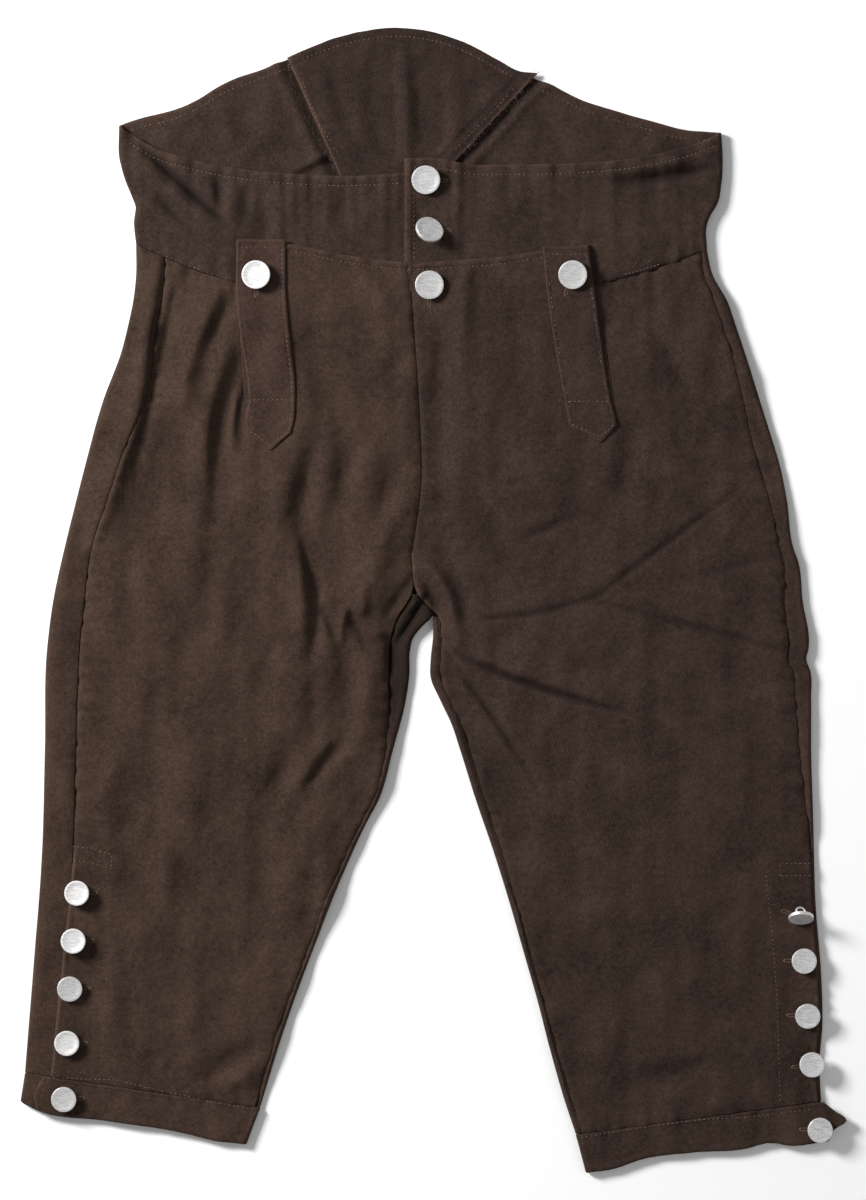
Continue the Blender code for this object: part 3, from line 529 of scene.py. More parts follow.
def levelEnds(side):  # outer and inner height of each row below the slit
    p = plan[side]
    outer = lay["crotchY"] + (p["hem"][0][1] - lay["crotchY"]) * legRows
    inner = lay["crotchY"] + (p["hem"][1][1] - lay["crotchY"]) * legRows
    return np.concatenate([outer, bodyRows]), np.concatenate([inner, bodyRows])


def sideAndSeam(side):
    p = plan[side]
    outerY, innerY = levelEnds(side)
    outer = np.stack([smooth(p["outer"], "x", outerY), outerY], -1)
    inseam = np.stack([innerEdge(side, innerY), innerY], -1)
    along = inseam - outer
    along /= np.linalg.norm(along, axis=1)[:, None]
    wrap = smooth(p["outer"], "wrap", outerY) + cloth["seamGap"]
    return outer + along * wrap[:, None], inseam


def placketShare(y):  # 0 above the knee opening, 1 in it
    return ramp(-172, -182, y)


# rows from the slit's end up to an edge across the top, between two curves given as functions of y
def climb(leftX, rightX, shares, edge, up, reader=smooth):
    y = np.full(np.broadcast(shares, up).shape, float(lay["slitEndY"]))
    for _ in range(6):
        x = leftX(y) + (rightX(y) - leftX(y)) * shares
        y = lay["slitEndY"] + (reader(edge, "y", x, "x") - lay["slitEndY"]) * up
    return x, y


front = {
    "fallColumns": 82, "sideColumns": 42,
    "slitShare": 0.56, "slitFromY": 104,  # where the two grids meet, as a share of the width, below the slit
    "turned": 0.7, "underlap": 14,  # thicker at the turned top edge; how far from the slit the cloth lifts
}


def makeFront(side, material):  # one grid from the inseam to the slit and one from there to the side seam
    p = plan[side]
    sideEnd, inseam = sideAndSeam(side)
    level = np.maximum(inseam[:, 1], front["slitFromY"])
    slitX = smooth(p["slit"], "x", level)
    share = (slitX - innerEdge(side, level)) / (sideSeam(side, level) - innerEdge(side, level))
    share = front["slitShare"] + (share - front["slitShare"]) * ramp(-60, front["slitFromY"], inseam[:, 1])
    slit = inseam + (sideEnd - inseam) * share[:, None]
    hemAway = [(1 - legRows) * rowLong["leg"], rowLong["leg"] + bodyRows - lay["crotchY"]]
    hemAway = np.concatenate(hemAway)[:, None]
    gap = p["sign"] * cloth["seamGap"] / 2
    up = topRows[:, None]
    grids = []
    for start, end, count, onFall in (
        (inseam, slit, front["fallColumns"], True), (slit, sideEnd, front["sideColumns"], False),
    ):
        long = np.linalg.norm(end - start, axis=1)
        away = spread(long, count)
        at = start[:, None] + (end - start)[:, None] * (away / long[:, None])[..., None]
        x, y = at[..., 0], at[..., 1]
        rest = long[:, None] - away
        z = fallTop(x, y) if onFall else legTop(x, y)
        if onFall:
            z = z + dip(away) + pucker(y, away, 21, 0.5, 9)
            wearAndShade = 0.7 * bell(away, 1.5) * ramp(-30, -10, y) * ramp(40, 24, y)
        else:
            shut = 1 - placketShare(y)
            z = z + dip(rest) * shut + (1 - shut) * (turnedEdge(rest, 4) + 0.4 * np.exp(-rest / 8))
            z = z + pucker(y, rest, 22, 0.55, 10)
            wearAndShade = bell(rest, 2.0) * (0.2 + 0.4 * (1 - shut))
        z = z + (smooth(height, "z", y) - z) * bell(hemAway, 5)  # the knee band holds it flat
        z = z + dip(hemAway, 0.5) + pucker(x, hemAway, 23, 0.5, 9)
        # painted shade darkens the narrow sunk creases
        low = grid(x, y, z, cloth["wall"], wearAndShade - paintedShade(bodyFolds, x, y))
        shares = (away / long[:, None])[-1][None]
        if onFall:
            x, y = climb(
                lambda v: innerEdge(side, v), lambda v: smooth(p["slit"], "x", v) - gap,
                shares, fallEdge, up,
            )
            below = yAt(fallEdge, x) - y
            z = fallTop(x, y) + dip(away[-1][None]) * ramp(0, 3, below)
            z = z + turnedEdge(below, lay["fallStitch"])
            z = z + pucker(y, away[-1][None], 21, 0.5, 9) + pucker(x, below, 24, 0.6, 12)
            wall = cloth["wall"] + front["turned"] * ramp(9, 7.5, below)
            wearAndShade = 0.3 * bell(below, 2.0)
        else:
            x, y = climb(
                lambda v: smooth(p["slit"], "x", v) + gap, lambda v: sideSeam(side, v),
                shares, bandBottom[side], up,
            )
            below = yAt(bandBottom[side], x) - y
            y = y - cloth["seamGap"] * up
            z = legTop(x, y) + dip(rest[-1][None]) + dip(below, 1.2, 2.4)
            lifted = np.exp(-away[-1][None] / front["underlap"])  # the underlap lifts along the slit
            z = z + 0.6 * smooth(fallRise, "z", y) * lifted
            z = z + pucker(y, rest[-1][None], 22, 0.55, 10) + pucker(x, below, 25, 0.6, 14)
            wall = cloth["wall"]
            wearAndShade = 0.2 * bell(rest[-1][None], 2.4)
        low[-1, :, 0] = low[-1, 0, 0] + (low[-1, -1, 0] - low[-1, 0, 0]) * shares
        low[-1, :, 1] = lay["slitEndY"]
        # painted shade darkens the narrow sunk creases
        grids.append(np.concatenate([low, grid(x, y, z, wall, wearAndShade - paintedShade(bodyFolds, x, y))]))
    return sewPiece(f"front_panel_{side}", f"front_{side}", grids, material, side == "left")


def arcOver(radius, angles):  # in from the edge, and up, round a folded edge
    return radius * (1 - np.sin(angles)), radius * (1 + np.cos(angles))


foldAngles = np.linspace(0, math.pi, 9)[None]  # round a folded edge, from the upper face to the underside
back = {
    "wrapShares": np.array((1, 0.94, 0.86, 0.72, 0.54, 0.36, 0.18)),  # from the side seam to the folded edge
    "bottomColumns": 26, "tailColumns": 7,  # under the leg, and from the inner fold to the inseam
    "foldIn": 3.0,  # how far in from a folded edge its height is read
    "placketDrop": 1.6, "placketWide": 15,  # the button stand under the knee opening
    # how far the strip beside the crotch is sunk, and how strong the painted shade on it is
    "sunk": 2.0, "sunkPaintedShade": 0.9,
}


def makeBack(side, material):  # from the side seam round the outer fold, under, and round the inner fold
    p = plan[side]
    outerY, innerY = levelEnds(side)
    folded = innerY <= p["foldStart"] + 0.01
    outer = np.stack([smooth(p["outer"], "x", outerY), outerY], -1)
    centreX = smooth(backSeam, "x", innerY) + p["sign"] * cloth["seamGap"] / 2
    far = np.stack([np.where(folded, smooth(p["inner"], "x", innerY), centreX), innerY], -1)
    long = np.linalg.norm(far - outer, axis=1)[:, None]
    across = (far - outer) / long
    drop = (back["placketDrop"] * ramp(-150, -174, outerY))[:, None]
    reach = (smooth(p["outer"], "wrap", outerY) + back["placketWide"] * ramp(-183, -196, outerY))[:, None]

    def placed(q):
        at = outer[:, None] + across[:, None] * q[..., None]
        return at[..., 0], at[..., 1]

    radius = (legTop(*placed(np.full_like(long, back["foldIn"]))) - drop) / 2
    wrapQ = radius + (reach - radius) * back["wrapShares"][None]
    x, y = placed(wrapQ)
    wrapZ = legTop(x, y) - drop + dip(reach - wrapQ) * (1 - placketShare(y))
    arcQ, arcZ = arcOver(radius, foldAngles)
    farRadius = legTop(*placed(long - back["foldIn"])) / 2
    seamAway = np.linalg.norm(np.stack([innerEdge(side, innerY), innerY], -1) - far, axis=1)[:, None]
    seamAway = np.maximum(seamAway - cloth["seamGap"], farRadius + 0.6)
    bottomShares = np.linspace(0, 1, back["bottomColumns"])[1:]
    bottomQ = radius + (long - np.where(folded[:, None], farRadius, 0) - radius) * bottomShares[None]
    farIn, farZ = arcOver(farRadius, foldAngles[:, ::-1][:, 1:])
    tailQ = long - (farRadius + (seamAway - farRadius) * np.linspace(0.14, 1, back["tailColumns"])[None])
    tailX, tailY = placed(tailQ)
    tailZ = legTop(tailX, tailY) + dip(seamAway - (long - tailQ))
    if side == "right":  # the strip beside the crotch is sunk
        sunk = back["sunk"] * ramp(-110, -40, tailY) * ramp(14, 2, tailY)
        tailZ = tailZ - sunk * np.linspace(0, 1, back["tailColumns"])[None] ** 0.6
    q = np.hstack([wrapQ, arcQ, bottomQ, long - farIn, tailQ])
    z = np.hstack([wrapZ, arcZ, 0 * bottomQ, farZ, tailZ])
    x, y = placed(q)
    farFirst = q.shape[1] - farIn.shape[1] - tailQ.shape[1]
    x[~folded, farFirst:] = np.nan
    # painted shade darkens the narrow sunk creases
    wearAndShade = 0.3 * bell(q - radius, 4) - paintedShade(bodyFolds, x, y)
    # painted shade: the sunk strip beside the crotch is coloured darker
    if side == "right":
        wearAndShade[:, farFirst:] -= back["sunkPaintedShade"] * (ramp(-120, -60, y) * ramp(20, 4, y))[:, farFirst:]
    low = grid(x, y, z, cloth["wall"], wearAndShade)

    up = topRows[:, None]
    zero = np.zeros_like(up)
    columns = []

    def addColumn(x, y, z):
        columns.append((x, y - cloth["seamGap"] * up, z))

    def climbAt(inside, edge, reader=smooth):
        def columnX(y):
            return smooth(p["outer"], "x", y) - p["sign"] * inside(y)

        return climb(columnX, columnX, zero, edge, up, reader)

    tall = legTop(*climbAt(lambda y: back["foldIn"], bandBottom[side]))
    for share in back["wrapShares"]:
        x, y = climbAt(
            lambda y: tall / 2 + (smooth(p["outer"], "wrap", y) - tall / 2) * share, bandBottom[side]
        )
        below = yAt(bandBottom[side], x) - y
        seamIn = (1 - share) * (smooth(p["outer"], "wrap", y) - tall / 2)
        addColumn(x, y, legTop(x, y) + dip(seamIn) + dip(below, 1.2, 2.4))
    for angle in foldAngles[0]:
        inside, z = arcOver(tall / 2, angle)
        upper = angle < math.pi / 2
        edge, reader = (bandBottom[side], smooth) if upper else (backBandBottom[side], straight)
        x, y = climbAt(lambda y: inside, edge, reader)
        addColumn(x, y, z)
    centreY = lay["slitEndY"] + (backSeam["y"][0] - lay["slitEndY"]) * up
    centreX = smooth(backSeam, "x", centreY) + p["sign"] * cloth["seamGap"] / 2
    foldX = x
    for share in bottomShares:
        x = foldX + (centreX - foldX) * share
        y = lay["slitEndY"] + (straight(backBandBottom[side], "y", x, "x") - lay["slitEndY"]) * up
        addColumn(x, y, zero)
    blank = np.full((len(topRows), low.shape[1] - len(columns)), np.nan)
    top = grid(*(np.hstack([*values, blank]) for values in zip(*columns)), cloth["wall"])
    grids = [np.concatenate([low, top])]
    return sewPiece(f"back_panel_{side}", f"back_{side}", grids, material, side == "left")


band = {
    "z": 7.4, "lapUp": 1.4, "lapDown": 1.0, "frontEnd": {"right": 10, "left": -20}, "stitch": 7.0,
    "rows": 42, "frontColumns": 124, "backColumns": 84, "foldSize": 1.6, "yokeFoldSize": 1.5,
    "turning": (16.5, 4), "groove": (9.5, 3.2),  # beside the gusset: how far from its edge, and how wide
}


def makeWaistband(side, material):  # from its lapped front end round the side to the gusset
    sign = plan[side]["sign"]
    frontEnd = band["frontEnd"][side]
    share = rowShares(rowLong["band"], band["rows"], band["stitch"])[:, None]
    sides = bandSide[side]
    edgeX = smooth(sides, "x", sides["y"][0] + (sides["y"][-1] - sides["y"][0]) * share)
    radius = band["z"] / 2
    frontX = frontEnd + (edgeX - sign * radius - frontEnd) * spreadShares(200, band["frontColumns"])
    arcIn, arcZ = arcOver(radius, foldAngles[:, 1:])
    arcX = edgeX - sign * arcIn
    (lowX, _), (highX, _) = backBandEnd[side]
    endX = lowX + (highX - lowX) * share
    backX = arcX[:, -1:] + (endX - arcX[:, -1:]) * np.linspace(0, 1, band["backColumns"])[None, 1:]
    x = np.hstack([frontX, arcX, backX])
    upper = np.hstack([0 * frontX + 1, 0 * arcX + (arcZ > radius), 0 * backX]) > 0
    lowEdge = np.where(upper, yAt(bandBottom[side], x), straight(backBandBottom[side], "y", x, "x"))
    highEdge = np.where(upper, yAt(bandTop[side], x), yAt(backBandTop[side], x))
    y = lowEdge + (highEdge - lowEdge) * share
    below = highEdge - y
    lap = ramp(32, 20, np.abs(x + 5)) * (band["lapUp"] if side == "left" else -band["lapDown"])
    top = band["z"] + lap + foldRise(bandFolds, x, y) * band["foldSize"] + ripple(x, y, *waves["band"])
    top = top + turnedEdge(below, band["stitch"]) * 1.4
    top = top + pucker(x, below, 26, 0.7, 26) + pucker(x, y - lowEdge, 27, 0.5, 18)
    top = top + dip(y - lowEdge, 1.0, 2.0)
    endAway = np.abs(x - frontEnd)
    if side == "left":
        top = top + turnedEdge(endAway, band["stitch"])
    column = np.arange(x.shape[1])[None]
    flat = np.hstack([0 * frontX, 0 * arcX + arcZ, 0 * backX])
    z = np.where(column < frontX.shape[1], top, flat)
    toEnd = np.abs(x - endX)
    grooved = bell(toEnd - band["groove"][0], band["groove"][1])
    yoke = foldRise(yokeFolds, x, y) * band["yokeFoldSize"] + ripple(x, y, *waves["yoke"])
    yoke = yoke + 0.5 * turnedEdge(below, 6.0)
    yoke = yoke + 1.5 * bell(toEnd - band["turning"][0], band["turning"][1]) - 1.2 * grooved
    thick = cloth["bandWall"] + yoke * ramp(0, 12, np.abs(x - edgeX) - radius)
    wall = np.where(column < frontX.shape[1] + arcX.shape[1], cloth["bandWall"], np.maximum(thick, 1.0))
    wearAndShade = 0.35 * bell(below, 1.8) + (0.3 * bell(endAway, 2) if side == "left" else 0)
    # painted shade: the band's narrow creases in front, the groove beside the gusset and the yoke's creases
    # behind are coloured darker
    wearAndShade = wearAndShade - np.where(upper, paintedShade(bandFolds, x, y), grooved)
    wearAndShade = wearAndShade - np.where(upper, 0, paintedShade(yokeFolds, x, y))
    grids = [grid(x, y, z, wall, wearAndShade)]
    return sewPiece(f"waistband_half_{side}", f"waistband_{side}", grids, material, side == "left")


gusset = {
    "point": (-38, 262), "pointWide": 22, "z": 3.55, "sag": 2.0, "stitch": 6.0, "foldSize": 1.7,
    "rows": 60, "columns": 84, "wide": 170, "openY": (302, 316), "overlap": 6.5,
}
gussetTop = table(
    "x y",
    (-102, 380), (-91, 385), (-74, 392), (-47, 399), (-23, 401), (-4, 399), (19, 392), (46, 378), (59, 371),
    (73, 369),
)


def gussetPlan(across, up):  # both are shares: from right to left of the wearer, and from the point up
    topX = gussetTop["x"][0] + (gussetTop["x"][-1] - gussetTop["x"][0]) * across
    lowX = gusset["point"][0] + gusset["pointWide"] * (across - 0.5)
    x = lowX + (topX - lowX) * up
    topY = yAt(gussetTop, topX)
    return x, gusset["point"][1] + (topY - gusset["point"][1]) * up, topY


def makeGusset(material):  # let into the back of the waistband, and seen from inside
    across = spreadShares(gusset["wide"], gusset["columns"])
    x, y, topY = gussetPlan(across, rowShares(rowLong["gusset"], gusset["rows"], gusset["stitch"])[:, None])
    inside = []
    for side, (low, high) in backBandEnd.items():
        along = np.array(high, float) - low
        along /= np.linalg.norm(along)
        inside.append(plan[side]["sign"] * ((y - low[1]) * along[0] - (x - low[0]) * along[1]))
    opened = ramp(*gusset["openY"], y)
    z = gusset["z"] - gusset["sag"] * ramp(3, 16, np.minimum(*inside)) * opened
    z = z + opened * (foldRise(gussetFolds, x, y) * gusset["foldSize"] + ripple(x, y, *waves["gusset"]))
    rightAway = inside[1] + gusset["overlap"]
    z = z + 0.6 * ramp(9, 7, rightAway) - 0.6 * bell(rightAway - 9.5, 1.3)
    z = z + turnedEdge(topY - y, gusset["stitch"]) * 0.9
    z = np.maximum(z, cloth["wall"] + 0.1)
    frayed = bell(np.minimum(across, 1 - across) * gusset["wide"], 2.0)
    # the raw edges are paler where they fray; painted shade darkens the groove inside the turned strip
    wearAndShade = 0.9 * frayed - 0.6 * bell(rightAway - 9, 1.6)
    grids = [grid(x, y, z, cloth["wall"], wearAndShade)]
    return sewPiece("gusset_inside", "back_gusset", grids, material, True)


welt = {"crossY": {"right": 140, "left": 139}, "halfWide": 17, "lift": 0.25, "turned": 2.6, "stitch": 2.4}


def makeWelt(side, material):  # a pointed strip over the fall's slit
    rows = plan[side]["welt"]
    high, cornerY, low = rows["y"][0], rows["y"][-2], rows["y"][-1]
    y = np.concatenate([
        high - np.array((0, 0.8, 1.8, 2.8, 3.6, 4.6)),
        np.linspace(high - 7, cornerY, 44), np.linspace(cornerY, low, 9)[1:],
    ])[::-1][:, None]
    left, right = straight(rows, "left", y), straight(rows, "right", y)
    soft = ramp(cornerY, cornerY + 12, y)
    left = left + (smooth(rows, "left", y) - left) * soft
    right = right + (smooth(rows, "right", y) - right) * soft
    share = np.array((0, 0.025, 0.055, 0.085, 0.115, 0.15, 0.2))
    share = np.concatenate([share, np.linspace(0.2, 0.8, 9)[1:-1], 1 - share[::-1]])[None]
    x = left + (right - left) * share
    across = np.minimum(x - left, right - x)
    pointAway = (y - low) - np.abs(x - (left + right) / 2) * (cornerY - low) / welt["halfWide"]
    away = np.minimum(np.minimum(across, high - y), np.maximum(pointAway, 0))
    wall = cloth["wall"] + welt["lift"]
    z = fallTop(x, y) + cloth["layGap"] + cloth["wall"] + welt["lift"]
    z = z + turnedEdge(away, welt["turned"]) * 0.8
    z = z - 0.35 * bell(y - welt["crossY"][side], 1.1)
    wearAndShade = 0.3 * bell(away, 1.3)
    grids = [grid(x, y, z, wall, wearAndShade)]
    return sewPiece(f"fall_welt_strip_{side}", f"fall_welt_{side}", grids, material, True)


kneeBand = {
    "z": 6.2, "lapDown": 1.0, "lapUp": 1.35, "stitch": 2.4, "hemStitch": 5.0,
    "backEnd": {"right": -258, "left": 254},
    "right": {
        "top": ((-286, -331.6), (-121, -355.6)), "bottomEnds": (-289, -130.5),
        "bottom": table(
            "x y", (-289, -351), (-277, -357), (-230, -364.5), (-180, -372), (-150, -379), (-130.5, -381)
        ),
        "end": table("share x", (0, -277.5), (0.45, -279), (1, -273)),
    },
    "left": {
        "top": ((272, -351.5), (100, -374.5)), "bottomEnds": (271, 107),
        "bottom": table(
            "x y", (107, -401), (128, -398), (145, -392), (180, -387), (220, -384), (236, -380), (250, -382),
            (271, -379.5), (289, -377),
        ),
        "end": table("share x", (0, 277), (0.3, 282), (0.42, 289), (0.5, 289), (0.75, 281), (1, 273.5)),
    },
}


def makeKneeBand(side, material):  # from its pointed front end round both folds to its lapped back end
    p, sign = kneeBand[side], plan[side]["sign"]
    share = rowShares(rowLong["knee"], 14, kneeBand["stitch"])[:, None]
    (outerX, outerY), (innerX, innerY) = p["top"]
    slope = (outerY - innerY) / (outerX - innerX)
    radius = kneeBand["z"] / 2
    lowRadius = (kneeBand["z"] - kneeBand["lapDown"]) / 2
    bottomOuterX, bottomInnerX = p["bottomEnds"]
    edgeOut = bottomOuterX + (outerX - bottomOuterX) * share
    edgeIn = bottomInnerX + (innerX - bottomInnerX) * share
    frontEnd = smooth(p["end"], "x", share, "share")
    frontX = frontEnd + (edgeIn + sign * radius - frontEnd) * spreadShares(160, 84)
    innerIn, innerZ = arcOver(radius, foldAngles[:, 1:])
    arcX = edgeIn + sign * innerIn
    bottomX = arcX[:, -1:] + (edgeOut - sign * lowRadius - arcX[:, -1:]) * np.linspace(0, 1, 24)[None, 1:]
    outerIn, outerZ = arcOver(lowRadius, foldAngles[:, ::-1][:, 1:])
    outArcX = edgeOut - sign * outerIn
    tailX = outArcX[:, -1:] + (kneeBand["backEnd"][side] - outArcX[:, -1:]) * np.array([[0.3, 0.65, 1.0]])
    x = np.hstack([frontX, arcX, bottomX, outArcX, tailX])
    topY = outerY + (x - outerX) * slope - 0.15
    bottomY = yAt(p["bottom"], x)
    y = bottomY + (topY - bottomY) * share
    lap = kneeBand["lapUp"] * ramp(-14, 0, sign * (frontX - kneeBand["backEnd"][side]))
    frontY = y[:, :frontX.shape[1]]
    below, above = (topY - y)[:, :frontX.shape[1]], (y - bottomY)[:, :frontX.shape[1]]
    endAway = np.abs(frontX - frontEnd)
    z = kneeBand["z"] + lap + turnedEdge(below, kneeBand["stitch"]) * 0.6
    z = z + turnedEdge(above, kneeBand["hemStitch"]) * 0.7 + turnedEdge(endAway, 3.0)
    z = z + ripple(frontX, frontY, *waves["kneeFine"]) + ripple(frontX, frontY, *waves["kneeBroad"])
    z = z + pucker(frontX, below, 28, 0.5, 12)
    z = np.hstack([z, innerZ + 0 * arcX, 0 * bottomX, outerZ + 0 * outArcX, 2 * lowRadius + 0 * tailX])
    wearAndShade = 0.3 * bell(np.minimum(above, endAway), 1.6)
    wearAndShade = np.hstack([wearAndShade, 0 * np.hstack([arcX, bottomX, outArcX, tailX])])
    grids = [grid(x, y, z, cloth["bandWall"], wearAndShade)]
    return sewPiece(f"knee_band_strip_{side}", f"knee_band_{side}", grids, material, side == "right")


# thread on the cloth: a stitch is a small spindle that lies along it, and a hair is a loose end
class Thread:
    def __init__(self, cloths):
        self.mesh = bmesh.new()
        self.trees = []
        depsgraph = bpy.context.evaluated_depsgraph_get()
        for piece in cloths:
            self.trees.append(BVHTree.FromObject(piece, depsgraph))

    def surface(self, x, y):  # the highest cloth under a point in mm
        hits = [tree.ray_cast(Vector((x * mm, y * mm, 0.1)), Vector((0, 0, -1))) for tree in self.trees]
        hits = [hit for hit in hits if hit[0] is not None]
        return max(hits, key=lambda hit: hit[0].z) if hits else None

    def stitch(self, x, y, turn, long, wide, sunk=0.05):
        hit = self.surface(x, y)
        if hit is None:
            return
        up = hit[1] if hit[1].z > 0 else -hit[1]
        ahead = Vector((math.cos(turn), math.sin(turn), 0))
        ahead = (ahead - up * ahead.dot(up)).normalized()
        beside = up.cross(ahead)
        centre = hit[0] + up * (wide * 0.25 - sunk) * mm
        ring = []
        for angle in (0, math.pi / 2, math.pi, 3 * math.pi / 2):
            out = beside * math.cos(angle) * wide * 0.5 + up * math.sin(angle) * wide * 0.42
            ring.append(self.mesh.verts.new(centre + out * mm))
        ends = []
        for way in (-1, 1):
            out = ahead * way * long * 0.5 - up * wide * 0.35
            ends.append(self.mesh.verts.new(centre + out * mm))
        for k in range(4):
            a, b = ring[k], ring[(k + 1) % 4]
            self.mesh.faces.new((ends[1], a, b))
            self.mesh.faces.new((ends[0], b, a))

    def run(self, places, pitch=3.2, long=2.5, wide=0.62, skip=0.0):  # evenly along a line of places
        places = np.array(places, float)
        steps = np.linalg.norm(np.diff(places, axis=0), axis=1)
        total = np.concatenate([[0], np.cumsum(steps)])
        for at in np.arange(pitch / 2, total[-1], pitch):
            if random.random() < skip:
                continue
            i = min(int(np.searchsorted(total, at, "right")) - 1, len(steps) - 1)
            share = (at - total[i]) / steps[i]
            x, y = places[i] + (places[i + 1] - places[i]) * share
            turn = math.atan2(*(places[i + 1] - places[i])[::-1])
            self.stitch(x, y, turn + random.uniform(-0.06, 0.06), long * random.uniform(0.9, 1.1), wide)

    def hair(self, x, y, turn, long, wide=0.16, lift=0.8, curl=0.5):  # bent a little at each step
        hit = self.surface(x, y)
        z = hit[0].z if hit else 1.5 * mm
        at = Vector((x * mm, y * mm, z + 0.1 * mm))
        last = None
        for step in range(5):
            r = wide * mm * (1 - step * 0.15) / 2
            side = Vector((-math.sin(turn), math.cos(turn), 0)) * r
            ring = [self.mesh.verts.new(at + v) for v in (side, Vector((0, 0, r * 1.6)), -side)]
            if last:
                for k in range(3):
                    self.mesh.faces.new((last[k], last[(k + 1) % 3], ring[(k + 1) % 3], ring[k]))
            else:
                self.mesh.faces.new(ring)
            last = ring
            turn += random.uniform(-curl, curl)
            rise = lift * mm * (0.5 if step < 2 else -0.4) * random.uniform(0.4, 1)
            at = at + Vector((math.cos(turn), math.sin(turn), 0)) * long / 4 * mm + Vector((0, 0, rise))
            at.z = max(at.z, 0.3 * mm)
        self.mesh.faces.new(last[::-1])

    def finish(self, name, material):
        bmesh.ops.recalc_face_normals(self.mesh, faces=self.mesh.faces)
        data = bpy.data.meshes.new(name)
        self.mesh.to_mesh(data)
        self.mesh.free()
        data.shade_smooth()
        return addObject(name, data, material)


def edgeLine(edge, low, high, inset):  # places from one x to another, an inset below an edge
    at = np.linspace(low, high, 40)
    return [(x, y - inset) for x, y in zip(at, yAt(edge, at))]


def sewWaist(thread):
    thread.run(edgeLine(bandTop["right"], -213, -22, band["stitch"]))
    thread.run(edgeLine(bandTop["left"], -14, 196, band["stitch"]))
    thread.run([(-13, 302), (-13.4, 270), (-13.2, 238)])
    thread.run(edgeLine(backBandTop["right"], -212, -100, 6), skip=0.1)
    thread.run(edgeLine(backBandTop["left"], 76, 194, 6), skip=0.1)
    thread.run(edgeLine(bandBottom["right"], -200, -140, -1.2), pitch=3.4, long=2.0, skip=0.25)
    thread.run(edgeLine(bandBottom["left"], 134, 158, -2.0), pitch=2.6, long=2.4, wide=0.7)
    thread.run(edgeLine(gussetTop, -92, 56, gusset["stitch"]))
    thread.run([(-92.8, 370), (-88, 352), (-80, 334), (-66, 312)], skip=0.1)
    thread.run([(57, 359), (44, 344), (30, 330), (14, 314)], skip=0.1)


def sewFall(thread):
    thread.run(edgeLine(fallEdge, -97, 76, lay["fallStitch"]))
    for side, skipLeft, skipRight in (("right", 0.9, 0.1), ("left", 0.35, 0.5)):
        rows, inset = plan[side]["welt"], welt["stitch"]
        high, cornerY, low = rows["y"][0], rows["y"][-2], rows["y"][-1]
        down = np.linspace(high - 2.6, cornerY + 1, 30)
        left = [(x + inset, y) for x, y in zip(smooth(rows, "left", down), down)]
        right = [(x - inset, y) for x, y in zip(smooth(rows, "right", down), down)]
        tip = ((rows["left"][-1] + rows["right"][-1]) / 2, low + 3.0)
        thread.run(left, skip=skipLeft)
        thread.run(right, skip=skipRight)
        thread.run([left[-1], tip, right[-1]])
        thread.run([(left[0][0], high - 5.4), (right[0][0], high - 5.4)], skip=0.2)
        crossY = welt["crossY"][side]
        crossX = smooth(rows, "left", crossY) + inset, smooth(rows, "right", crossY) - inset
        thread.run([(x, crossY) for x in crossX])


def sewKnees(thread):  # facing, bar tacks and the line along each knee opening
    thread.run([(-253, -172.5), (-238, -174), (-225, -178)])
    thread.run([(-252, -182), (-238, -184.5), (-225, -188)])
    thread.run([(-225, -178), (-225, -188)])
    thread.run([(-233, -175), (-233, -186)])
    thread.run([(-227, -190), (-229, -270), (-232, -329)], long=2.0, wide=0.36, skip=0.3)
    thread.run([(243, -184.5), (264, -184.5)])
    thread.run([(243, -193), (264, -193)])
    thread.run([(243, -184.5), (243, -193)])
    thread.run([(233, -192), (238, -240), (241, -280), (243, -350)])
    thread.run([(-270, -334.5), (-221, -336.2), (-188, -344.2), (-124, -357.6)])
    thread.run([(103, -376.4), (159, -367.4), (189, -363.6), (220, -362), (266, -356.4)], skip=0.05)


button = {
    "thick": 2.4, "shank": 2.2, "waistWide": 20, "kneeWide": 17.5,
    "bevel": 0.45, "wire": 0.7, "leastLoop": 1.5,
    "faceRings": ((1.2, 0.0), (0.5, 0.14), (3.0, 0.02)),  # each ring's width, and how far its middle sinks
    "bossWide": 4.6, "bossRing": (1.2, 0.7),  # round the shank, on the back
}
buttons = (  # name, x, y, lean, towards, longer shank, hole's direction
    ("button_waist_upper", -5, 293.5, 8, -90, 0, 0),
    ("button_waist_lower", -2.5, 258.5, 36, 56, 2.4, 0),
    ("button_fall_centre", -2.5, 220, 6, -30, 0.3, -90),
    ("button_fall_right", -123.5, 227, 5, 150, 0.3, -90),
    ("button_fall_left", 97.5, 227, 9, -90, 0.3, -110),
    ("button_knee_right_1", -249, -205, 6, 160, 0.3, 0),
    ("button_knee_right_2", -251.5, -238.5, 4, 140, 0.3, 0),
    ("button_knee_right_3", -254, -272, 7, -40, 0.3, 0),
    ("button_knee_right_4", -256, -310, 3, 120, 0.3, 0),
    ("button_knee_right_5", -258, -349, 5, -70, 0.3, 0),
    ("button_knee_left_1", 257, -222, 60, -90, 4.6, 160),
    ("button_knee_left_2", 259.5, -252.5, 6, 40, 0.3, 180),
    ("button_knee_left_3", 262, -291, 8, -110, 0.3, 180),
    ("button_knee_left_4", 265, -325, 5, 70, 0.3, 190),
    ("button_knee_left_5", 270.5, -370.5, 6, -60, 0.3, 180),
)


def selectFaces(obj, test):
    bpy.ops.object.mode_set(mode="EDIT")
    bpy.ops.mesh.select_mode(type="FACE")
    bpy.ops.mesh.select_all(action="DESELECT")
    bpy.ops.object.mode_set(mode="OBJECT")
    for face in obj.data.polygons:
        face.select = test(face)
    bpy.ops.object.mode_set(mode="EDIT")


def insetCap(disc, upwards, rings):
    for ringWide, down in rings:
        selectFaces(disc, lambda face: face.normal.z * upwards > 0.95 and len(face.vertices) > 8)
        bpy.ops.mesh.inset(thickness=ringWide * mm)
        bpy.ops.transform.translate(value=(0, 0, -down * mm))
        bpy.ops.object.mode_set(mode="OBJECT")


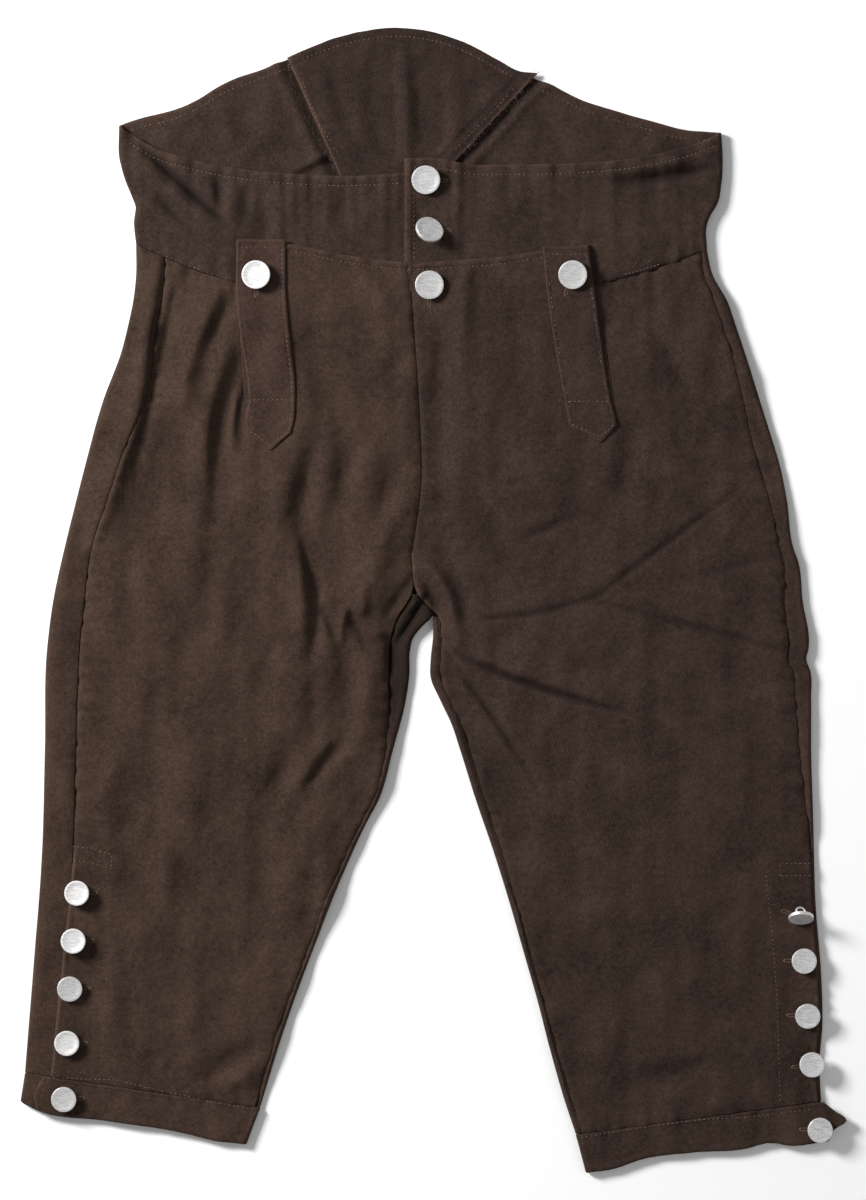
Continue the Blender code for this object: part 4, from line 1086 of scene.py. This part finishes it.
def modelButton(wide, shank):  # a cast disc with a raised rim, and a loop of wire under it
    bpy.ops.object.select_all(action="DESELECT")
    thick = button["thick"] * mm
    bpy.ops.mesh.primitive_cylinder_add(vertices=56, radius=wide * mm / 2, depth=thick, end_fill_type="NGON")
    disc = bpy.context.object
    selectFaces(disc, lambda face: abs(face.normal.z) > 0.9)
    bpy.ops.mesh.region_to_loop()
    bpy.ops.mesh.bevel(offset=button["bevel"] * mm, segments=3, profile=0.6)
    bpy.ops.object.mode_set(mode="OBJECT")
    insetCap(disc, 1, button["faceRings"])
    insetCap(disc, -1, ((wide / 2 - button["bossWide"], 0), button["bossRing"]))
    bpy.ops.object.select_all(action="DESELECT")
    loopWide = max(shank * 0.5 * mm, button["leastLoop"] * mm)
    bpy.ops.mesh.primitive_torus_add(
        major_radius=loopWide, minor_radius=button["wire"] * mm, major_segments=24, minor_segments=10,
        location=(0, 0, -thick / 2 - shank * mm + loopWide), rotation=(math.pi / 2, 0, 0),
    )
    bpy.ops.object.transform_apply(location=True, rotation=True, scale=True)
    disc.select_set(True)
    bpy.context.view_layer.objects.active = disc
    bpy.ops.object.join()
    master = bpy.context.object
    bpy.ops.object.shade_smooth_by_angle(angle=math.radians(32))
    data = master.data.copy()
    bpy.data.objects.remove(master)
    return data


def placeButtons(material):  # each as high as its solid, and leaning as it hangs
    placed = []
    for name, x, y, lean, towards, longer, hole in buttons:
        wide = button["kneeWide"] if "knee" in name else button["waistWide"]
        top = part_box(name)[1][2] / mm
        tilt = math.radians(lean)
        turn = Matrix.Rotation(tilt, 4, Matrix.Rotation(math.radians(towards), 4, "Z") @ Vector((0, 1, 0)))
        z = top - wide / 2 * math.sin(tilt) - button["thick"] / 2 * math.cos(tilt)
        centre = Vector((x, y, z))
        data = modelButton(wide, button["shank"] + longer)
        spin = Matrix.Rotation(random.uniform(0, 6), 4, "Z")
        data.transform(Matrix.Translation(centre * mm) @ turn @ spin)
        piece = addObject(name.replace("button", "cast_button"), data, material)
        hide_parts(name)
        placed.append((centre, math.radians(hole), wide))
    return placed


def workButtonholes(placed, thread):  # satin stitches either side of a slit, mostly hidden by the button
    for centre, turn, wide in placed:
        ahead = Vector((math.cos(turn), math.sin(turn)))
        beside = Vector((-ahead.y, ahead.x))
        for at in np.arange(2, wide / 2 + 4.6, 0.85):
            for row in (-1, 1):
                spot = centre.to_2d() + ahead * at + beside * row * 0.95
                thread.stitch(spot.x, spot.y, turn + math.pi / 2 + random.uniform(-0.15, 0.15), 1.7, 0.62)
        spot = centre.to_2d() + ahead * (wide / 2 + 5.0)
        for shift in (-0.4, 0.3):
            thread.stitch(*(spot + ahead * shift), turn + math.pi / 2, 3.4, 0.6)


def frayEdges(thread):  # the gusset's raw edges, then long loose ends, then lint
    left = ((-101, 378), (-97, 355), (-88, 336), (-80, 322), (-67, 303))
    right = ((73, 367), (58, 352), (44, 336), (30, 322), (20, 311))
    for line, out, count in ((left, math.pi, 120), (right, -0.4, 110)):
        line = np.array(line, float)
        for _ in range(count):
            at = random.uniform(0, len(line) - 1.001)
            i = int(at)
            x, y = line[i] + (line[i + 1] - line[i]) * (at - i)
            turn = out + random.gauss(0, 0.7)
            thread.hair(x + random.uniform(-0.5, 2) * -math.cos(out), y, turn, random.uniform(1.6, 4.2))
    for x, y, turn, long in (
        (-101, 380, 2.4, 8), (-99, 381, 1.9, 6), (73, 369, 0.6, 7), (71, 370, 1.2, 5), (-70, 306, 4.2, 8),
        (140, 233, 0.5, 7), (150, 236, 1.0, 5), (-94, 381, 1.2, 4), (8, 291, -0.3, 5), (-2, 205, -1.2, 6),
        (4, 203, -2.2, 6), (-234, -203, 0.3, 5), (-232, -239, -0.2, 5), (241, -213, 2.6, 6),
        (-30, 300, 1.0, 4),
    ):
        thread.hair(x, y, turn, long, wide=0.3, lift=0.6)
    for x, y in (
        (-54, 220), (-208, 167), (-178, 177), (-58, 206), (-133, -115), (-186, -148), (-274, -255),
        (-223, -296), (-152, -91), (150, -153),
    ):
        thread.stitch(x, y, random.uniform(0, 3), random.uniform(0.8, 1.6), 0.5)


def linear(colour):  # from an sRGB hex value
    parts = [int(colour[i:i + 2], 16) / 255 for i in (1, 3, 5)]
    return (*(c / 12.92 if c <= 0.04045 else ((c + 0.055) / 1.055) ** 2.4 for c in parts), 1)


def fillSockets(tree, node, inputs):  # with links from other nodes' sockets, or with plain values
    for socket, value in dict(inputs).items():
        if isinstance(value, bpy.types.NodeSocket):
            tree.links.new(value, node.inputs[socket])
        else:
            node.inputs[socket].default_value = value


def addNode(tree, kind, inputs=(), stops=(), **settings):  # stops are places and colours on a ramp
    node = tree.nodes.new("ShaderNode" + kind)
    for name, value in settings.items():
        setattr(node, name, value)
    fillSockets(tree, node, inputs)
    for k, (place, colour) in enumerate(stops):
        node.color_ramp.elements[k].position = place
        node.color_ramp.elements[k].color = linear(colour)
    return node


def startMaterial(name):
    material = bpy.data.materials.new(name)
    material.use_nodes = True
    tree = material.node_tree
    return material, tree, addNode(tree, "TexCoord").outputs["Object"]


twill = {  # sizes in mm; the threads are drawn about twice as coarse as real ones, so that the rib shows
    "thread": 1.1, "nap": 1.3, "fleck": 3.2, "mottle": 34,
    # the first colour is that of rubbed nap; the second is painted shade for creases, grooves and the sunk
    # strip, mixed in at the share that follows
    "wearAndShade": "#5c463b", "paintedShade": "#120c0a", "shadeMixShare": -0.68, "sheen": "#a08a7c",
    "shades": {  # dark, light, and how the rib slants
        "leg_right": ("#261b15", "#43342b", 0.9),
        "leg_left": ("#221812", "#3f302a", 0.7),
        "band": ("#221813", "#3e3029", 0.8),
        "welt": ("#281c17", "#45352d", 0.8),
        "inside": ("#1f1511", "#382b25", 0.8),
    },
}


# brushed cotton twill, heavy and dull: a fine slanting rib under a nap that scatters light and looks mottled
def brushedTwill(name):
    dark, light, slant = twill["shades"][name]
    material, tree, where = startMaterial("brushed_twill_" + name)
    sheet = addNode(tree, "Attribute", attribute_name="lay").outputs["Vector"]
    mottleScale, napScale, fleckScale = (1000 / twill[size] for size in ("mottle", "nap", "fleck"))
    inputs = {"Vector": where, "Scale": mottleScale, "Detail": 3, "Roughness": 0.6}
    mottle = addNode(tree, "TexNoise", inputs)
    nap = addNode(tree, "TexNoise", {"Vector": where, "Scale": napScale, "Detail": 2, "Roughness": 0.7})
    nap = nap.outputs["Fac"]
    turned = addNode(tree, "Mapping", {"Vector": sheet, "Rotation": (0, 0, slant)}).outputs["Vector"]
    ribScale = 1000 / twill["thread"] / 6.3  # the rib then repeats every two threads
    rib = addNode(
        tree, "TexWave", {"Vector": turned, "Scale": ribScale, "Distortion": 0.8, "Detail": 1},
        wave_type="BANDS", bands_direction="X",
    )
    fleck = addNode(tree, "TexNoise", {"Vector": where, "Scale": fleckScale, "Detail": 4, "Roughness": 0.75})
    fine = addNode(tree, "Mix", {0: 0.45, 2: fleck.outputs["Fac"], 3: nap}, data_type="FLOAT")
    both = addNode(tree, "Mix", {0: 0.72, 2: mottle.outputs["Fac"], 3: fine.outputs[0]}, data_type="FLOAT")
    ramped = addNode(tree, "ValToRGB", {"Fac": both.outputs[0]}, ((0.38, dark), (0.62, light)))
    wearAndShade = addNode(tree, "SeparateXYZ", {"Vector": sheet}).outputs["Z"]
    rubbed = addNode(tree, "Math", {0: wearAndShade, 1: nap}, operation="MULTIPLY").outputs[0]
    inputs = {0: rubbed, 6: ramped.outputs["Color"], 7: linear(twill["wearAndShade"])}
    paler = addNode(tree, "Mix", inputs, data_type="RGBA").outputs[2]
    # painted shade: below 0, the last value of lay darkens the colour towards the painted shade colour
    shadeMixShare = addNode(tree, "Math", {0: wearAndShade, 1: twill["shadeMixShare"]}, operation="MULTIPLY").outputs[0]
    inputs = {0: shadeMixShare, 6: paler, 7: linear(twill["paintedShade"])}
    coloured = addNode(tree, "Mix", inputs, data_type="RGBA").outputs[2]
    weave = addNode(tree, "Mix", {0: 0.8, 2: rib.outputs["Fac"], 3: nap}, data_type="FLOAT").outputs[0]
    bump = addNode(tree, "Bump", {"Height": weave, "Strength": 0.6, "Distance": 0.4 * mm})
    fillSockets(tree, tree.nodes["Principled BSDF"], {
        "Base Color": coloured, "Normal": bump.outputs["Normal"],
        "Roughness": 0.92, "Specular IOR Level": 0.12,
        "Sheen Weight": 0.06, "Sheen Roughness": 0.5, "Sheen Tint": linear(twill["sheen"]),
    })
    return material


# spun polyester sewing thread: slightly shiny, twisted, a shade paler than the cloth
sewing = {"dark": "#4d3a2f", "light": "#82695a", "twist": 3.0}


def sewingThread():
    material, tree, where = startMaterial("sewing_thread_brown")
    twist = addNode(tree, "TexNoise", {"Vector": where, "Scale": 1000 / sewing["twist"], "Detail": 2})
    stops = ((0.35, sewing["dark"]), (0.7, sewing["light"]))
    ramped = addNode(tree, "ValToRGB", {"Fac": twist.outputs["Fac"]}, stops).outputs["Color"]
    fillSockets(tree, tree.nodes["Principled BSDF"], {"Base Color": ramped, "Roughness": 0.6})
    return material


# cast pewter, tumbled: pale, with fine pits and scratches; the skin is dulled, so part of the light scatters
pewter = {"dark": "#b3b1b0", "light": "#ecebeb", "pit": 1.1, "scratch": 6, "metallic": 0.65}


def castPewter():
    material, tree, where = startMaterial("cast_pewter")
    pitScale, scratchScale = 1000 / pewter["pit"], 1000 / pewter["scratch"]
    pits = addNode(tree, "TexNoise", {"Vector": where, "Scale": pitScale, "Detail": 4, "Roughness": 0.7})
    squeezed = addNode(tree, "Mapping", {"Vector": where, "Rotation": (0, 0, 0.6), "Scale": (1, 9, 1)})
    squeezed = squeezed.outputs["Vector"]
    scratches = addNode(tree, "TexNoise", {"Vector": squeezed, "Scale": scratchScale, "Detail": 3})
    inputs = {0: 0.5, 2: pits.outputs["Fac"], 3: scratches.outputs["Fac"]}
    both = addNode(tree, "Mix", inputs, data_type="FLOAT").outputs[0]
    ramped = addNode(tree, "ValToRGB", {"Fac": both}, ((0.36, pewter["dark"]), (0.6, pewter["light"])))
    rough = addNode(tree, "MapRange", {"Value": both, 1: 0.3, 2: 0.7, 3: 0.6, 4: 0.42})
    bump = addNode(tree, "Bump", {"Height": both, "Strength": 0.5, "Distance": 0.12 * mm})
    fillSockets(tree, tree.nodes["Principled BSDF"], {
        "Base Color": ramped.outputs["Color"], "Roughness": rough.outputs[0],
        "Normal": bump.outputs["Normal"], "Metallic": pewter["metallic"],
    })
    return material


twills = {name: brushedTwill(name) for name in twill["shades"]}
threadBrown = sewingThread()
castMetal = castPewter()

pieces = {}
for side in ("right", "left"):
    legCloth = twills["leg_" + side]
    pieces["front", side] = makeFront(side, legCloth)
    pieces["back", side] = makeBack(side, legCloth)
    pieces["band", side] = makeWaistband(side, twills["band"])
    pieces["welt", side] = makeWelt(side, twills["welt" if side == "right" else "band"])
    pieces["knee", side] = makeKneeBand(side, legCloth)
    print("sewn", side)
pieces["gusset", ""] = makeGusset(twills["inside"])

placed = placeButtons(castMetal)
print("buttons placed")
stitches = Thread(pieces.values())
sewWaist(stitches)
sewFall(stitches)
sewKnees(stitches)
workButtonholes(placed, stitches)
stitches.finish("topstitching", threadBrown)
fray = Thread(pieces.values())
frayEdges(fray)
fray.finish("frayed_threads", threadBrown)
print("stitched")


studio = {  # in metres and watts
    "paper": "#f6f6f6", "floorWide": 8, "floorZ": -0.0002, "world": 0.31,
    "lights": {  # place, width, power; both point at the middle of the garment
        "key": ((-1.76, 0.95, 1.3), 0.65, 98),
        "fill": ((1.6, -0.9, 1.6), 1.6, 6),
    },
    "viewHigh": 0.84, "cameraZ": 3.2, "clothZ": 0.006,  # the view is 840 mm high at the cloth
}


def placeStage():
    bpy.ops.object.select_all(action="DESELECT")
    bpy.ops.mesh.primitive_plane_add(size=studio["floorWide"], location=(0, 0, studio["floorZ"]))
    floor = bpy.context.object
    floor.name = "floor"
    paper = bpy.data.materials.new("white_backdrop_paper")
    paper.use_nodes = True
    shader = paper.node_tree.nodes["Principled BSDF"]
    fillSockets(paper.node_tree, shader, {"Base Color": linear(studio["paper"]), "Roughness": 0.9})
    floor.data.materials.append(paper)
    world = bpy.data.worlds.new("studio")
    world.use_nodes = True
    background = world.node_tree.nodes["Background"]
    fillSockets(world.node_tree, background, {"Color": (1, 1, 1, 1), "Strength": studio["world"]})
    bpy.context.scene.world = world
    for name, (place, size, power) in studio["lights"].items():
        light = bpy.data.lights.new(name, "AREA")
        light.size = size
        light.energy = power
        lamp = bpy.data.objects.new(name, light)
        lamp.location = place
        lamp.rotation_euler = (-Vector(place)).to_track_quat("-Z", "Y").to_euler()
        bpy.context.scene.collection.objects.link(lamp)
    bpy.context.scene.view_settings.view_transform = "Standard"


def placeCamera():
    camera = bpy.data.cameras.new("camera")
    camera.sensor_fit = "VERTICAL"
    camera.sensor_height = 24
    camera.lens = camera.sensor_height * (studio["cameraZ"] - studio["clothZ"]) / studio["viewHigh"]
    stand = bpy.data.objects.new("camera", camera)
    stand.location = (0, 0, studio["cameraZ"])
    bpy.context.scene.collection.objects.link(stand)
    bpy.context.scene.camera = stand


placeStage()
placeCamera()
print("stage set")
